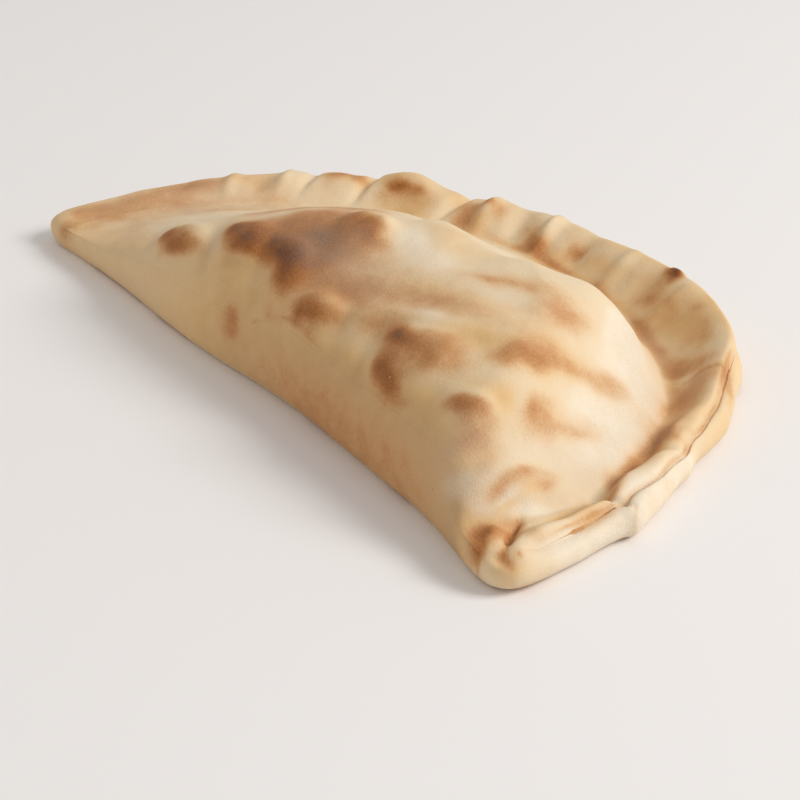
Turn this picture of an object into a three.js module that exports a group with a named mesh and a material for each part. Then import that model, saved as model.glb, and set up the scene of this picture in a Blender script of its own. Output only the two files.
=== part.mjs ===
// A baked calzone: a disc of dough folded in half over its filling, the open
// side rolled up and pinched into a rope rim. One closed solid of dough.
// Millimetres, +Z up. The straight fold runs along X, the rim bows towards +Y,
// and the flat underside lies on z = 0 with the plan's box centred on the origin.

import * as THREE from 'three';

// ---- overall sizes -----------------------------------------------------------
const DISC_RADIUS = 150;        // the dough disc, before it was folded over
const FOLD_LINE = -2.5;         // the fold bulges this far past the disc's middle line
const FOLD_WAVE = 1;            // a slow wave of the fold, and its pace along X
const FOLD_WAVE_PACE = 19;
const FOOT_BULGE = { x: 140, width: 27, out: 7.5 };      // the near corner's spread foot
const FOLD_WAIST = { x: 60, width: 50, in: 1.5 };        // a slight waist beside it
const CORNER_BLEND = 9;         // rounding where the fold meets the rim, in plan
const CENTRE_X = 2.7;           // middle of the plan's box, from the disc's centre
const CENTRE_Y = 70.3;
const EDGE_HEIGHT = 6;          // height of the widest line, round the rim
const FOLD_HEIGHT = 9;          // and along the fold
const FOLD_BAND = 16;           // the fold's height fades into the rim's over this width
const FOLD_ENDS = [115, 143];   // and between these distances from the middle
const UNDER_ROUND = 7;          // rounding from the widest line in to the flat underside

// ---- profiles round the rim: [degrees from the near tip, millimetres] --------
// radius of the outline: hand-folded, so it wanders by a few millimetres
const OUTLINE = [
  [-20, 150], [-4, 150], [0, 149.8], [6, 149], [11.5, 148.6], [14.3, 149.2], [16, 151], [19, 149.6],
  [23, 148.6], [27, 147.8], [29.5, 148.6], [33, 147.8], [37, 150], [42, 152.6], [49, 153.4], [55, 156],
  [62, 154], [75, 151.5], [90, 149.5], [100, 150.5], [114, 148], [126, 151], [135, 149], [150, 148],
  [165, 146], [180, 144.5], [200, 144.5],
];
// the rim's crest: its height, and how far in from the outline it runs
const CREST_HEIGHT = [
  [-10, 11.5], [0, 12.5], [9, 13], [14.5, 12.8], [19, 13.7], [26, 13.2], [33, 13.8], [40, 14], [44, 14.8],
  [47, 16.3], [50, 18.5], [55, 20.3], [60, 21.2], [66, 20.6], [75, 19], [85, 17], [97, 15.5], [107, 16],
  [116, 14.5], [127, 17.5], [134, 16], [140, 16.5], [153, 15.5], [165, 13.5], [180, 11.5],
];
const CREST_IN = [
  [-10, 8], [3, 7.5], [8, 6.2], [13, 6.6], [14.8, 6.2], [16, 8.2], [18, 9.2], [20.5, 9.2], [22.5, 7.8],
  [26.5, 5.6], [29.5, 6.2], [32, 6.8], [35, 7.4], [38, 7.4], [41, 6.6], [47, 4.6], [52, 3.6], [65, 3.5],
  [75, 4], [85, 5], [97, 6.5], [107, 7], [127, 9], [180, 9],
];
// the pressed valley between the rim and the filled dome
const VALLEY_IN = [
  [-10, 14], [9, 13], [15, 13], [22, 15.5], [28, 13.4], [35, 15.4], [44, 18.4], [52, 23], [65, 26], [125, 26],
  [150, 24], [165, 22], [180, 18],
];
const VALLEY_HEIGHT = [
  [-10, 10], [0, 10], [15, 9], [30, 8], [60, 7.5], [90, 8], [120, 9.5], [145, 11.5], [165, 12], [180, 10],
];
const MIDDLE_LOW = 10;          // under the dome, this far in from the outline, its base levels out at this
const MIDDLE_BAND = [100, 140];
// the seam where the upper sheet of dough is rolled over the lower one
const SEAM_IN = [
  [-10, 5], [3, 5.2], [8, 5.2], [12, 5.4], [16.5, 5.6], [20, 4.4], [24, 3.2], [30, 2.8], [34.5, 2.9],
  [40, 4.6], [44, 4.8], [51, 3.6], [60, 2.8],
];
const SEAM_HEIGHT = [
  [-10, 8.6], [3, 8.8], [12, 9.8], [17, 12], [24, 11.4], [34, 11.2], [42, 12.2], [60, 12.8],
];
const SEAM_STARTS = [-4, 3];    // the seam fades in and out between these angles
const SEAM_ENDS = [52, 64];
// the dome's own, calmer outline, its foot within that, and its skirt's width up to full height
const DOME_EDGE = [[-10, 150], [15, 150], [50, 153], [90, 150], [180, 145]];
const FOOT_IN = [
  [-10, 15], [20, 15.5], [35, 18], [52, 23], [65, 26], [125, 26], [150, 24], [165, 22], [180, 18],
];
const SKIRT = [[0, 27], [15, 33], [30, 38], [52, 41], [62, 51], [75, 69], [90, 87], [140, 88], [180, 70]];

// ---- profiles along the fold: [x, millimetres] --------------------------------
const DOME_HEIGHT = [
  [-150, 12], [-125, 19], [-80, 31], [-45, 41], [-10, 47], [30, 45.5], [65, 44.5], [95, 41.5], [120, 36],
  [138, 25], [150, 13],
];
// the flank's width, from the fold to the crown
const FLANK = [[-150, 34], [-60, 48], [40, 52], [100, 44], [150, 26]];

// ---- sections ------------------------------------------------------------------
const LIP_ROUND = 6;            // rounding of a single lip over the widest line, at most
const UNDER_DOME_SLOPE = 1.2;   // the valley's floor carries on down under the dome
const LOWER_LOBE = { rise: 3.4, fall: 6 };               // its crown and its fall behind, mm in
const UPPER_LOBE = { from: 8, reach: 1.2 };              // its floor, and its reach past the seam
const CREASE = { depth: 0.9, width: 0.9 };               // the seam's crease
const FLANK_CURVE = [2.2, 0.47];                         // exponents: near an ellipse, a little fuller
const SKIRT_CURVE = [1.65, 1.2];                         // a flatter slope down to the valley
const DOME_BLEND = 3;           // soft joint between rim and dome
const CORNER_SOFT = { more: 9, x: [95, 122], angle: [2, 14] };      // a softer one at the near corner

// ---- pleats and finger presses of the rim ---------------------------------------
const PLEAT_RADIUS = DISC_RADIUS - 10;
const PLEAT_POWER = 2.2;
// [degrees, mm in, half length round the rim, half length across, height, slant]
const PLEATS = [
  [82.5, 14, 3.6, 9, 2.0, 0.2], [99, 14, 2.8, 9, 3.8, 0.2], [110.5, 12, 3.4, 9, 3.4, 0],
  [68, 14, 4, 9, 2.2, 0.1], [92, 13, 6, 8, -2.4, 0.2], [105, 12, 5, 8, -3.2, 0.2],
  [76, 13, 6, 8, -2.0, 0.2], [60, 14, 6, 7, -1.8, -0.2], [52, 16, 5, 6, -1.2, -0.4],
  [116.5, 10, 2.4, 10, -3.4, -0.3], [124, 10, 10, 8, 3.2, 0], [131.5, 10, 2.6, 9, -3.2, -0.3],
  [136, 9, 5, 7, 1.0, 0], [140.5, 9, 2.5, 8, -2.4, -0.3], [144, 10, 2.6, 8, 1.6, -0.3],
  [148, 12, 5, 6, -2.0, -0.3], [152.5, 10, 3, 8, 1.6, -0.3], [15.5, 6, 1.6, 6, -1.6, 0.4],
  [28, 9, 2.2, 7, -1.6, 0.9],
];
const FLAKE = [74.2, 3.8, 4.6, 1.6, 1.7, 0];             // a loose flake of crust on the back edge
const FLAKE_POWER = 4;

// ---- blisters (raised) and slumps (sunken) of the dome ----------------------------
// [x, y, half length, half width, turn in degrees, height, sharpness]
const BLISTERS = [
  [-58, 7, 12, 7, 8, 2.6, 3.4], [-22, 13.5, 15, 8, 5, 3.4, 3.4], [1, 14, 11.5, 8, 150, 4.4, 4],
  [26, 10, 10, 6, 16, 3.0, 3.4], [7, 40, 13, 8.5, 142, 3.4, 2.8], [12, 45, 5, 2.6, 140, 1.2, 2.4],
  [75, 13, 17, 11, 15, 4.0, 3.6], [104, 11, 10, 6, 26, 2.4, 3], [93, 36, 9, 8, 0, 1.0, 2.2],
  [95, 47, 9, 6, 100, 0.8, 2.2], [83, 66, 12, 7, 64, 1.0, 2.2], [71, 38, 15, 7, 22, 0.9, 2.2],
  [98, 67, 10, 5, 72, 0.8, 2.2], [114, 30, 9, 7, 80, 1.2, 2.4], [125, 13, 13, 3.6, 80, 2.6, 2.4],
  [134, -5, 7, 6, 130, 0.8, 2.2], [61, 24, 17, 3.5, 20, 1.0, 2], [129, 15, 13, 2.4, 79, -1.5, 2],
  [35, 60, 16, 8, -25, -1.2, 2], [41, 27, 20, 6, 32, -1.4, 2], [-36, 7.5, 10, 4, 137, -4.0, 2],
  [-5, 9.5, 11, 4, 140, -4.4, 2], [37, 11, 9, 4.5, 130, -1.6, 2], [58, 7, 9, 4, 128, -3.8, 2],
  [93, 4, 8, 4, 120, -1.6, 2], [-76, 6, 9, 5, 130, -1.2, 2], [-60, 26, 14, 7, 20, -0.8, 2],
  [89, 17, 4, 8, 20, -0.8, 2], [12, 44, 13, 12, 142, 2.0, 2], [-10, 62, 14, 8, 120, 1.2, 2],
  [14, 64, 20, 9, 160, 3.0, 2.2], [40, 77, 12, 9, 30, -4.0, 2.2], [69, 90, 18, 12, 130, 6.8, 2.6],
  [-22, 96, 15, 9, 15, 1.5, 2.4], [24, 108, 12, 8, 165, 1.2, 2.2], [-64, 74, 14, 9, 40, 1.4, 2.4],
  [-98, 47, 11, 7, 60, 1.0, 2.2], [-42, 62, 10, 7, 20, 1.0, 2.2],
];
// the pinched near tip: a ridge, the groove beside it, and the tip of the rolled lobe, in the same terms
const TUCKS = [
  [135, -1.5, 6, 1.8, 134, 1.6, 2.2], [137, 4, 7, 1.5, 132, -2.4, 2.2], [146, 0, 5, 3.4, 70, 1.8, 2.4],
  [145, -5.5, 3.5, 1.3, 50, -2.2, 2], [142, 11, 6, 4, 100, 1.0, 2.2], [131.5, 3, 10, 2.2, 68, -1.2, 2],
];
const FADE = { pleats: 5, blisters: 8, tucks: 3 };       // each fades out this close to the outline

// ---- how finely the surface is cut --------------------------------------------------
const POLE = [30, 72];          // every ring of the surface closes round this point
const ARC_SECTORS = [[0, 62, 62], [62, 180, 60]];        // [from, to, stations]: finer at the rolled seam
const FOLD_STATIONS = 44;
const UNDER_STEPS = [UNDER_ROUND, 3.2, 0.9];             // rings below the widest line, mm in
const RIM_STEPS = [0, 0.6, 1.9, 3.4, 4.8, 6.2, 8, 10, 12.2, 14.6, 17.2, 20.2, 23.6, 27.6, 32];
const DOME_RINGS = 9;           // from the last rim step to the pole
const SEARCH = { near: 20, far: 190, halvings: 40 };     // the outline's distance from the pole

// ---- small helpers ---------------------------------------------------------------------
const { degToRad, radToDeg, clamp, lerp, smoothstep } = THREE.MathUtils;
const unit = (v) => clamp(v, 0, 1);
const ellipse = (q) => Math.sqrt(unit(1 - q * q));
const gauss = (q) => Math.exp(-q * q);
const bell = (u, v, power) => Math.exp(-(Math.hypot(u, v) ** power));

function smoothMin(a, b, k) {
  const h = unit(0.5 + (0.5 * (b - a)) / k);
  return b + (a - b) * h - k * h * (1 - h);
}

const smoothMax = (a, b, k) => -smoothMin(-a, -b, k);

// a smooth curve through [position, value] pairs that never overshoots them
function through(pairs) {
  const last = pairs.length - 1;
  const rise = (i) => (pairs[i + 1][1] - pairs[i][1]) / (pairs[i + 1][0] - pairs[i][0]);
  const slopes = pairs.map((_, i) => {
    if (i === 0 || i === last) {
      return 0;
    }
    const before = rise(i - 1);
    const after = rise(i);
    return before * after <= 0 ? 0 : (2 * before * after) / (before + after);
  });
  return (at) => {
    const x = clamp(at, pairs[0][0], pairs[last][0]);
    let i = 0;
    while (i < last - 1 && x >= pairs[i + 1][0]) {
      i += 1;
    }
    const width = pairs[i + 1][0] - pairs[i][0];
    const t = (x - pairs[i][0]) / width;
    const ends = pairs[i][1] * (1 + 2 * t) * (1 - t) ** 2 + pairs[i + 1][1] * t * t * (3 - 2 * t);
    return ends + width * t * (1 - t) * (slopes[i] * (1 - t) - slopes[i + 1] * t);
  };
}

const outline = through(OUTLINE);
const crestHeight = through(CREST_HEIGHT);
const crestIn = through(CREST_IN);
const valleyIn = through(VALLEY_IN);
const valleyHeight = through(VALLEY_HEIGHT);
const seamIn = through(SEAM_IN);
const seamHeight = through(SEAM_HEIGHT);
const domeEdge = through(DOME_EDGE);
const footIn = through(FOOT_IN);
const skirt = through(SKIRT);
const domeHeight = through(DOME_HEIGHT);
const flank = through(FLANK);

// ---- the plan ------------------------------------------------------------------------------
function foldLine(x) {
  const wave = FOLD_WAVE * Math.sin(x / FOLD_WAVE_PACE + 0.6);
  const foot = FOOT_BULGE.out * gauss((x - FOOT_BULGE.x) / FOOT_BULGE.width);
  return FOLD_LINE + wave - foot + FOLD_WAIST.in * gauss((x - FOLD_WAIST.x) / FOLD_WAIST.width);
}

// where a point of the plan lies: its angle round the rim, and its distance in
// from the arc alone and from the whole outline
function place(x, y) {
  const turn = Math.atan2(y, x);
  const angle = radToDeg(turn < -Math.PI / 2 ? turn + 2 * Math.PI : turn);
  const arcIn = outline(angle) - Math.hypot(x, y);
  return { x, y, angle, arcIn, edgeIn: smoothMin(arcIn, y - foldLine(x), CORNER_BLEND) };
}

// height of the widest line: low round the rolled rim, higher along the plump fold
function widest(x, y) {
  const nearFold = 1 - smoothstep(y, 2, FOLD_BAND);
  const midFold = 1 - smoothstep(Math.abs(x), ...FOLD_ENDS);
  return EDGE_HEIGHT + (FOLD_HEIGHT - EDGE_HEIGHT) * nearFold * midFold;
}

// ---- the rim ----------------------------------------------------------------------------------
function pleat(p, [angle, inward, along, across, height, slant], power) {
  const v = p.arcIn - inward;
  const u = degToRad(p.angle - angle) * PLEAT_RADIUS + slant * v;
  return height * bell(u / along, v / across, power);
}

// the inner face, from the crest down to the valley and on under the dome
function innerFace(p) {
  const [top, at, foot] = [crestHeight(p.angle), crestIn(p.angle), valleyIn(p.angle)];
  const down = 0.5 - 0.5 * Math.cos(Math.PI * unit((p.arcIn - at) / (foot - at)));
  return top - (top - valleyHeight(p.angle)) * down - UNDER_DOME_SLOPE * Math.max(p.arcIn - foot, 0);
}

// one lip, rounded over from the widest line
function singleLip(p, inner) {
  const round = Math.min(crestIn(p.angle), LIP_ROUND);
  return EDGE_HEIGHT + (inner - EDGE_HEIGHT) * ellipse(1 - unit(p.edgeIn / round));
}

// two lobes, the upper rolled over the lower, with the seam's crease between them
function rolledLobes(p, inner) {
  const [at, seam] = [crestIn(p.angle), seamIn(p.angle)];
  const behind = p.edgeIn - LOWER_LOBE.rise;
  const lowerRound = behind > 0 ? LOWER_LOBE.fall : LOWER_LOBE.rise;
  const lower = EDGE_HEIGHT + (seamHeight(p.angle) - EDGE_HEIGHT) * ellipse(behind / lowerRound);
  const reach = at - seam + UPPER_LOBE.reach;
  const rolled = UPPER_LOBE.from + (inner - UPPER_LOBE.from) * ellipse((p.edgeIn - at) / reach);
  const upper = p.edgeIn > at ? inner : rolled * Number(p.edgeIn > at - reach);
  return Math.max(lower, upper) - CREASE.depth * gauss((p.edgeIn - seam) / CREASE.width);
}

function rim(p) {
  const inner = innerFace(p);
  const lip = singleLip(p, inner);
  const seamed = smoothstep(p.angle, ...SEAM_STARTS) * (1 - smoothstep(p.angle, ...SEAM_ENDS));
  const body = lip + (rolledLobes(p, inner) - lip) * seamed;
  const relief = PLEATS.reduce((sum, one) => sum + pleat(p, one, PLEAT_POWER), pleat(p, FLAKE, FLAKE_POWER));
  return body + relief * unit(p.edgeIn / FADE.pleats);
}

// ---- the filled dome ------------------------------------------------------------------------------
function blister(p, [bx, by, long, wide, turn, height, power]) {
  const [cos, sin] = [Math.cos(degToRad(turn)), Math.sin(degToRad(turn))];
  const u = ((p.x - bx) * cos + (p.y - by) * sin) / long;
  const v = ((p.y - by) * cos - (p.x - bx) * sin) / wide;
  return height * bell(u, v, power);
}

function dome(p) {
  const low = lerp(valleyHeight(p.angle), MIDDLE_LOW, smoothstep(p.arcIn, ...MIDDLE_BAND));
  const past = domeEdge(p.angle) - Math.hypot(p.x, p.y) - footIn(p.angle);
  const rounded = (t, [inner, outer]) => (1 - (1 - unit(t)) ** inner) ** outer;
  const overFold = rounded((p.y - foldLine(p.x)) / flank(p.x), FLANK_CURVE);
  const overSkirt = rounded(past / skirt(p.angle), SKIRT_CURVE);
  const body = low + (domeHeight(p.x) - low) * overFold * overSkirt + Math.min(past, 0);
  return body + BLISTERS.reduce((sum, one) => sum + blister(p, one), 0) * unit(p.edgeIn / FADE.blisters);
}

function crust(x, y) {
  const p = place(x, y);
  const atCorner = smoothstep(x, ...CORNER_SOFT.x) * (1 - smoothstep(p.angle, ...CORNER_SOFT.angle));
  const body = smoothMax(rim(p), dome(p), DOME_BLEND + CORNER_SOFT.more * atCorner);
  const tucked = TUCKS.reduce((sum, one) => sum + blister(p, one), 0) * unit(p.edgeIn / FADE.tucks);
  return Math.max(body + tucked, widest(x, y));
}

// ---- the closed surface ---------------------------------------------------------------------------------
// plan points that the rays from the pole aim at: round the arc, then along the fold
function stations() {
  const ends = [];
  for (const [from, to, count] of ARC_SECTORS) {
    for (let i = 0; i < count; i += 1) {
      const t = degToRad(from + ((to - from) * i) / count);
      ends.push([DISC_RADIUS * Math.cos(t), DISC_RADIUS * Math.sin(t)]);
    }
  }
  for (let i = 0; i < FOLD_STATIONS; i += 1) {
    ends.push([DISC_RADIUS * ((2 * i) / FOLD_STATIONS - 1), 0]);
  }
  return ends;
}

// one ray from the pole: its direction, and its reach to the outline by halving
function ray([x, y]) {
  const length = Math.hypot(x - POLE[0], y - POLE[1]);
  const [dx, dy] = [(x - POLE[0]) / length, (y - POLE[1]) / length];
  let { near, far } = SEARCH;
  for (let k = 0; k < SEARCH.halvings; k += 1) {
    const middle = (near + far) / 2;
    if (place(POLE[0] + dx * middle, POLE[1] + dy * middle).edgeIn > 0) {
      near = middle;
    } else {
      far = middle;
    }
  }
  return { dx, dy, reach: near };
}

// rings of points from the middle of the underside, out round the widest line and up to the pole
function rings(rays) {
  const ring = (distance, height) => rays.map(({ dx, dy, reach }) => {
    const s = distance(reach);
    const [x, y] = [POLE[0] + dx * s, POLE[1] + dy * s];
    return new THREE.Vector3(x, y, height(x, y));
  });
  const under = UNDER_STEPS.map((step) => {
    const lift = 1 - ellipse(1 - unit(step / UNDER_ROUND));
    return ring((reach) => reach - step, (x, y) => widest(x, y) * lift);
  });
  const over = RIM_STEPS.map((step) => ring((reach) => reach - step, step > 0 ? crust : widest));
  const last = RIM_STEPS.at(-1);
  const upper = Array.from({ length: DOME_RINGS - 1 }, (_, i) => (
    ring((reach) => (reach - last) * (1 - (i + 1) / DOME_RINGS), crust)));
  return [...under, ...over, ...upper];
}

function surface() {
  const rays = stations().map(ray);
  const all = rings(rays);
  const points = [new THREE.Vector3(...POLE, 0), ...all.flat(), new THREE.Vector3(...POLE, crust(...POLE))];
  const count = rays.length;
  const faces = [];
  for (let j = 0; j < count; j += 1) {
    const k = (j + 1) % count;
    faces.push(0, 1 + k, 1 + j);
    for (let r = 0; r < all.length - 1; r += 1) {
      const [a, b] = [1 + r * count + j, 1 + r * count + k];
      const [c, d] = [b + count, a + count];
      // each patch is split along its shorter diagonal, which keeps the pleats crisp
      const short = points[a].distanceTo(points[c]) <= points[b].distanceTo(points[d]);
      faces.push(...(short ? [a, b, c, a, c, d] : [a, b, d, b, c, d]));
    }
    const top = 1 + (all.length - 1) * count;
    faces.push(top + j, top + k, points.length - 1);
  }
  const geometry = new THREE.BufferGeometry().setFromPoints(points);
  geometry.setIndex(faces);
  geometry.translate(-CENTRE_X, -CENTRE_Y, 0);
  geometry.computeVertexNormals();
  return geometry;
}

const bakedDough = new THREE.MeshStandardMaterial({ color: 0xd9b27c, roughness: 0.78, metalness: 0 });
const body = new THREE.Mesh(surface(), bakedDough);
body.name = 'calzone';

const calzone = new THREE.Group();
calzone.add(body);

export default calzone;
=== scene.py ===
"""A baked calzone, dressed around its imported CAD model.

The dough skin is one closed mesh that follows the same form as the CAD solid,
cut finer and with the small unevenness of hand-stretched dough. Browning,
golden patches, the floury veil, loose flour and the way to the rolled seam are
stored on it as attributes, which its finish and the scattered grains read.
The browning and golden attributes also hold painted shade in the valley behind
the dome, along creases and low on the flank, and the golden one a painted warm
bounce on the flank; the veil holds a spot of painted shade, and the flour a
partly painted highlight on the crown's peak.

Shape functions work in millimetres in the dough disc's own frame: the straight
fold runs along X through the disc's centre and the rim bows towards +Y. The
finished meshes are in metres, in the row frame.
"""

from __future__ import annotations

import itertools
import logging
import math
from dataclasses import dataclass, field
from enum import Enum
from typing import Callable, Sequence

import bpy
import numpy as np
from mathutils import Matrix, Vector

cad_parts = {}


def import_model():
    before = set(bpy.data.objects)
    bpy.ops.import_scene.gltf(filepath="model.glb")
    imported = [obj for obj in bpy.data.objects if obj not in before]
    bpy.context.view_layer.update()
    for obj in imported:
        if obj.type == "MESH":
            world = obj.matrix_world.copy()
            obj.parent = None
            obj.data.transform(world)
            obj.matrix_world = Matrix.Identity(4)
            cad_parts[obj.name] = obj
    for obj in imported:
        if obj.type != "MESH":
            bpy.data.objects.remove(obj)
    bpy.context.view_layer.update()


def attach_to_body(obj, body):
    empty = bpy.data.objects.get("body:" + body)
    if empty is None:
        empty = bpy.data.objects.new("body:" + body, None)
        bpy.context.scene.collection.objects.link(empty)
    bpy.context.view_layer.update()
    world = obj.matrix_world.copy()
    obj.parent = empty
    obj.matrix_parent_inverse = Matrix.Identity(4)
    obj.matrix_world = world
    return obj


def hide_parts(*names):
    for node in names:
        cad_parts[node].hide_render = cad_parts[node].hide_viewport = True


LOG = logging.getLogger("calzone")
MM = 0.001
BODY = "root"
DOUGH_NODE = "calzone"

Array = np.ndarray
Colour = tuple[float, float, float]
Span = tuple[float, float]


# ---- numbers and curves ----


def smooth_min(a: Array, b: Array, blend: float) -> Array:
    """Take the smaller of two fields, with a soft joint as wide as blend."""
    h = np.clip(0.5 + 0.5 * (b - a) / blend, 0, 1)
    return b + (a - b) * h - blend * h * (1 - h)


def smooth_max(a: Array, b: Array, blend: float) -> Array:
    """Take the larger of two fields, with a soft joint as wide as blend."""
    return -smooth_min(-a, -b, blend)


def ease(x: Array, low: float, high: float) -> Array:
    """Rise smoothly from 0 at low to 1 at high."""
    t = np.clip((x - low) / (high - low), 0, 1)
    return t * t * (3 - 2 * t)


def hump(x: Array, middle: Array | float, width: float) -> Array:
    """Give a bell curve: 1 at its middle, about a third of it one width away."""
    return np.exp(-(((x - middle) / width) ** 2))


def round_over(q: Array) -> Array:
    """Give a unit ellipse's height at q, and 0 outside it."""
    return np.sqrt(np.clip(1 - q * q, 0, 1))


def bell(u: Array, v: Array, power: float) -> Array:
    """Give a smooth bump's height, 1 in its middle; a higher power has a flatter top."""
    return np.exp(-(np.hypot(u, v) ** power))


def layered(*covers: Array) -> Array:
    """Lay covers from 0 to 1 over one another.

    Args:
        *covers: The covers, each of which hides a share of what is still bare.

    Returns:
        The share that they hide together.
    """
    bare = 1.0
    for cover in covers:
        bare = bare * (1 - cover)
    return 1 - bare


def from_srgb(red: int, green: int, blue: int) -> Colour:
    """Turn a colour from 0-255 display values into linear light."""
    shares = [c / 255 for c in (red, green, blue)]
    return tuple(c / 12.92 if c <= 0.04045 else ((c + 0.055) / 1.055) ** 2.4 for c in shares)


@dataclass(frozen=True)
class Profile:
    """A smooth curve through knots that never overshoots them."""

    knots: tuple[Span, ...]

    def __call__(self, at: Array) -> Array:
        """Read the curve.

        Args:
            at: Where to read it; beyond its ends it stays level.

        Returns:
            The curve's values.
        """
        x, y = np.array(self.knots, float).T
        rise = np.diff(y) / np.diff(x)
        slope = np.zeros(len(x))
        for i in range(1, len(x) - 1):
            if rise[i - 1] * rise[i] > 0:
                slope[i] = 2 * rise[i - 1] * rise[i] / (rise[i - 1] + rise[i])
        where = np.clip(at, x[0], x[-1])
        i = np.clip(np.searchsorted(x, where, side="right") - 1, 0, len(x) - 2)
        width = x[i + 1] - x[i]
        t = (where - x[i]) / width
        ends = y[i] * (1 + 2 * t) * (1 - t) ** 2 + y[i + 1] * t * t * (3 - 2 * t)
        return ends + width * t * (1 - t) * (slope[i] * (1 - t) - slope[i + 1] * t)


@dataclass(frozen=True)
class Lumps:
    """Smooth seeded unevenness in space, between about -1 and 1."""

    seed: int
    pace: float
    cells: int = 32

    def __call__(self, points: Array) -> Array:
        """Read the unevenness at points.

        Args:
            points: Positions in millimetres, one row each.

        Returns:
            One value for each point.
        """
        table = np.random.default_rng(self.seed).uniform(-1, 1, (self.cells,) * 3)
        grid = points / self.pace
        low = np.floor(grid).astype(int)
        t = grid - low
        t = t * t * (3 - 2 * t)
        total = np.zeros(len(points))
        for corner in itertools.product((0, 1), repeat=3):
            weight = np.prod(np.where(corner, t, 1 - t), axis=1)
            total += weight * table[tuple(((low + corner) % self.cells).T)]
        return total


# ---- the form of the dough ----


@dataclass(frozen=True)
class Place:
    """Where points of the plan lie: angle round the rim and distances in."""

    x: Array
    y: Array
    angle: Array
    arc_in: Array
    edge_in: Array


@dataclass(frozen=True)
class Pleat:
    """A pinched ridge, or a press where its height is negative, on the rim."""

    angle: float
    inward: float
    along: float
    across: float
    height: float
    slant: float
    power: float = 2.2
    radius: float = 140.0

    def relief(self, place: Place) -> Array:
        """Give the relief of the pleat.

        Args:
            place: Where to read it.

        Returns:
            The height that the pleat adds there.
        """
        v = place.arc_in - self.inward
        u = np.radians(place.angle - self.angle) * self.radius + self.slant * v
        return self.height * bell(u / self.along, v / self.across, self.power)


@dataclass(frozen=True)
class Blister:
    """A raised bubble of the dome, or a slump where its height is negative."""

    x: float
    y: float
    long: float
    wide: float
    turn: float
    height: float
    power: float

    def relief(self, place: Place) -> Array:
        """Give the relief of the blister.

        Args:
            place: Where to read it.

        Returns:
            The height that the blister adds there.
        """
        cos, sin = math.cos(math.radians(self.turn)), math.sin(math.radians(self.turn))
        u = ((place.x - self.x) * cos + (place.y - self.y) * sin) / self.long
        v = ((place.y - self.y) * cos - (place.x - self.x) * sin) / self.wide
        return self.height * bell(u, v, self.power)


@dataclass(frozen=True)
class Crease:
    """A thin line pressed or cracked into the crust, through points of the plan."""

    points: tuple[Span, ...]
    width: float
    depth: float
    toast_and_shade: float

    def near(self, place: Place) -> Array:
        """Give how close places are to the line.

        Args:
            place: The places.

        Returns:
            Shares from 1 on the line to 0 a few widths away.
        """
        nearest = np.full(np.shape(place.x), np.inf)
        for (ax, ay), (bx, by) in itertools.pairwise(self.points):
            run_x, run_y = bx - ax, by - ay
            share = ((place.x - ax) * run_x + (place.y - ay) * run_y) / (run_x**2 + run_y**2)
            share = np.clip(share, 0, 1)
            away = np.hypot(place.x - ax - share * run_x, place.y - ay - share * run_y)
            nearest = np.minimum(nearest, away)
        return hump(nearest, 0, self.width)


# angle, way in, half sizes along and across the rim, height, slant and power
PLEATS = (
    (82.5, 14, 3.6, 9, 2, 0.2), (99, 14, 2.8, 9, 3.8, 0.2), (110.5, 12, 3.4, 9, 3.4, 0),
    (68, 14, 4, 9, 2.2, 0.1), (92, 13, 6, 8, -2.4, 0.2), (105, 12, 5, 8, -3.2, 0.2),
    (76, 13, 6, 8, -2, 0.2), (60, 14, 6, 7, -1.8, -0.2), (52, 16, 5, 6, -1.2, -0.4),
    (116.5, 10, 2.4, 10, -3.4, -0.3), (124, 10, 10, 8, 3.2, 0), (131.5, 10, 2.6, 9, -3.2, -0.3),
    (136, 9, 5, 7, 1, 0), (140.5, 9, 2.5, 8, -2.4, -0.3), (144, 10, 2.6, 8, 1.6, -0.3),
    (148, 12, 5, 6, -2, -0.3), (152.5, 10, 3, 8, 1.6, -0.3), (15.5, 6, 1.6, 6, -1.6, 0.4),
    (28, 9, 2.2, 7, -1.6, 0.9), (74.2, 3.8, 4.6, 1.6, 1.7, 0, 4),
)

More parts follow.
